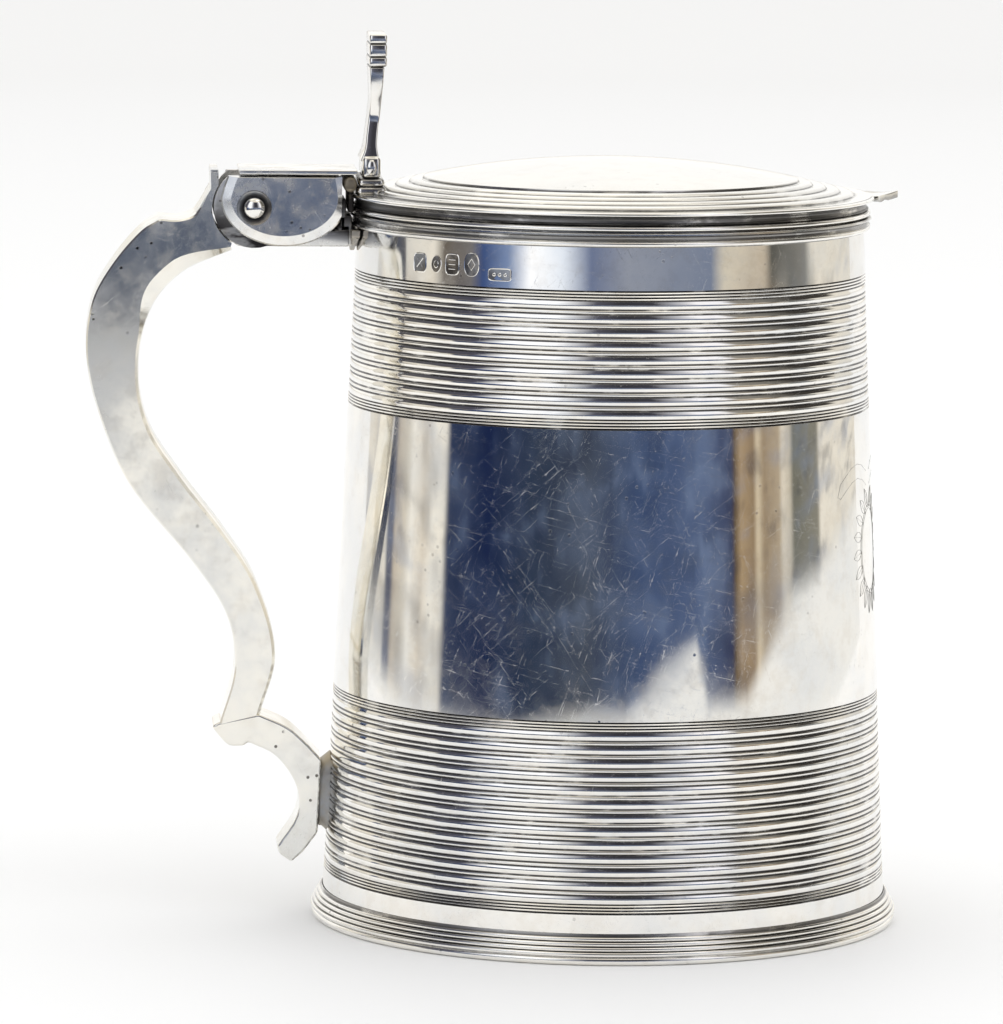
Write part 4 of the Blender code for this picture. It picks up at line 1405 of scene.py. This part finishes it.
def make_room_screen():
    """The near side: a dim room past the table's edge, as bands of colour with clouds."""
    half_span = ROOM_SPAN / 2
    tree, glow = curved_screen(
        "room_screen", 0.75, -0.005, 1.15, -half_span, ROOM_SPAN, 96, ROOM_SQUEEZE
    )
    coordinates = tree.nodes.new("ShaderNodeTexCoord")
    parts = tree.nodes.new("ShaderNodeSeparateXYZ")
    tree.links.new(coordinates.outputs["Object"], parts.inputs[0])
    backwards = link_math(tree, "MULTIPLY", parts.outputs["Y"], -1.0)
    turn = link_math(tree, "ARCTAN2", parts.outputs["X"], backwards)
    turned = link_math(tree, "ADD", turn, math.radians(half_span))
    share = link_math(tree, "DIVIDE", turned, math.radians(ROOM_SPAN))
    height = parts.outputs["Z"]

    wide = placed(tree, stretch=(1, 1, 17))
    pale = link_math(tree, "MULTIPLY", cloud(tree, wide, 5.0, 6.0, 0.47, 0.62), 0.40)
    deep = link_math(tree, "MULTIPLY", cloud(tree, wide, 8.0, 4.0, 0.52, 0.64), 0.45)
    room = link_mix(tree, pale, by_bearing(tree, share, LOW_ROOM), (0.22, 0.29, 0.45, 1.0))
    room = link_mix(tree, deep, room, (0.012, 0.02, 0.055, 1.0))
    over_table = link_math(tree, "SUBTRACT", height, by_bearing(tree, share, TABLE_EDGE))
    wall = link_mix(tree, between(tree, over_table, -0.004, 0.004, False), TABLE_WHITE, room)
    bands = (
        (0.105, 0.135, by_bearing(tree, share, MIDDLE_ROOM)),
        (0.160, 0.200, by_bearing(tree, share, HIGH_ROOM)),
        (0.78, 0.98, (*CREAM, 1.0)),
    )
    for low, high, colour in bands:
        wall = link_mix(tree, between(tree, height, low, high), wall, colour)
    tree.links.new(wall, glow)


def make_back_screen():
    """The far side: a tall plain white."""
    _, glow = curved_screen("back_screen", 3.0, 0.22, 4.0, 75, 210, 48)
    glow.default_value = BACK_WHITE


def make_world():
    """A pale surround: white behind the object, a warmer and dimmer white in the silver."""
    world = bpy.data.worlds.new("studio")
    bpy.context.scene.world = world
    world.use_nodes = True
    tree = world.node_tree
    tree.nodes.clear()
    path = tree.nodes.new("ShaderNodeLightPath")
    shade = link_mix(tree, path.outputs["Is Glossy Ray"], (1.0, 1.0, 1.0, 1.0), (*CREAM, 1.0))
    background = tree.nodes.new("ShaderNodeBackground")
    background.inputs["Strength"].default_value = 1.0
    tree.links.new(shade, background.inputs["Color"])
    output = tree.nodes.new("ShaderNodeOutputWorld")
    tree.links.new(background.outputs[0], output.inputs["Surface"])


LIGHTS_AIM = 0.07  # height on the drum's axis that the lights face


def make_light(name, place, size, power):
    """A rectangular soft light that faces the drum's middle."""
    data = bpy.data.lights.new(name, "AREA")
    data.shape = "RECTANGLE"
    data.size = size[0]
    data.size_y = size[1]
    data.energy = power
    light = in_scene(name, data)
    light.location = place
    aim = Vector((0.0, 0.0, LIGHTS_AIM)) - Vector(place)
    light.rotation_euler = aim.to_track_quat("-Z", "Y").to_euler()


def make_lights():
    """One soft light from the near right, and one from above and behind."""
    make_light("key_softbox", (0.9, -0.5, 1.5), (1.2, 1.2), 3.2)
    make_light("top_softbox", (-0.3, 0.5, 1.7), (1.6, 1.2), 2.6)


# ---------------------------------------------------------------- the whole tankard

make_drum()
make_foot_ring()
make_rim_ring()
make_lid_top()
make_lid_edge()
make_bezel()
make_peak()
for side, which in ((-1, "near"), (1, "far")):
    make_half_moon("half_moon_" + which, side, "hinge_cheek_" + which)
    make_cheek_flange("cheek_flange_" + which, side, "hinge_cheek_" + which)
    make_washer("pin_cup_" + which, side, "pin_washer_" + which)
    make_handle_side("handle_plate_" + which, side, "handle_side_" + which)
make_pin()
make_strap()
make_riser()
make_lug()
make_thumbpiece()
make_plinth()
make_spine()
make_inner_strip()
make_shoulder()
make_scroll()
make_pad()
make_shield()
make_punch_marks()
make_engraving()

for node, material in (("base_plate", worn_silver), ("hinge_bush", oxide_silver)):
    frame["nodes"][node].data.materials.clear()
    frame["nodes"][node].data.materials.append(material)

make_camera()
make_floor()
make_room_screen()
make_back_screen()
make_world()
make_lights()
bpy.context.scene.view_settings.view_transform = "Standard"
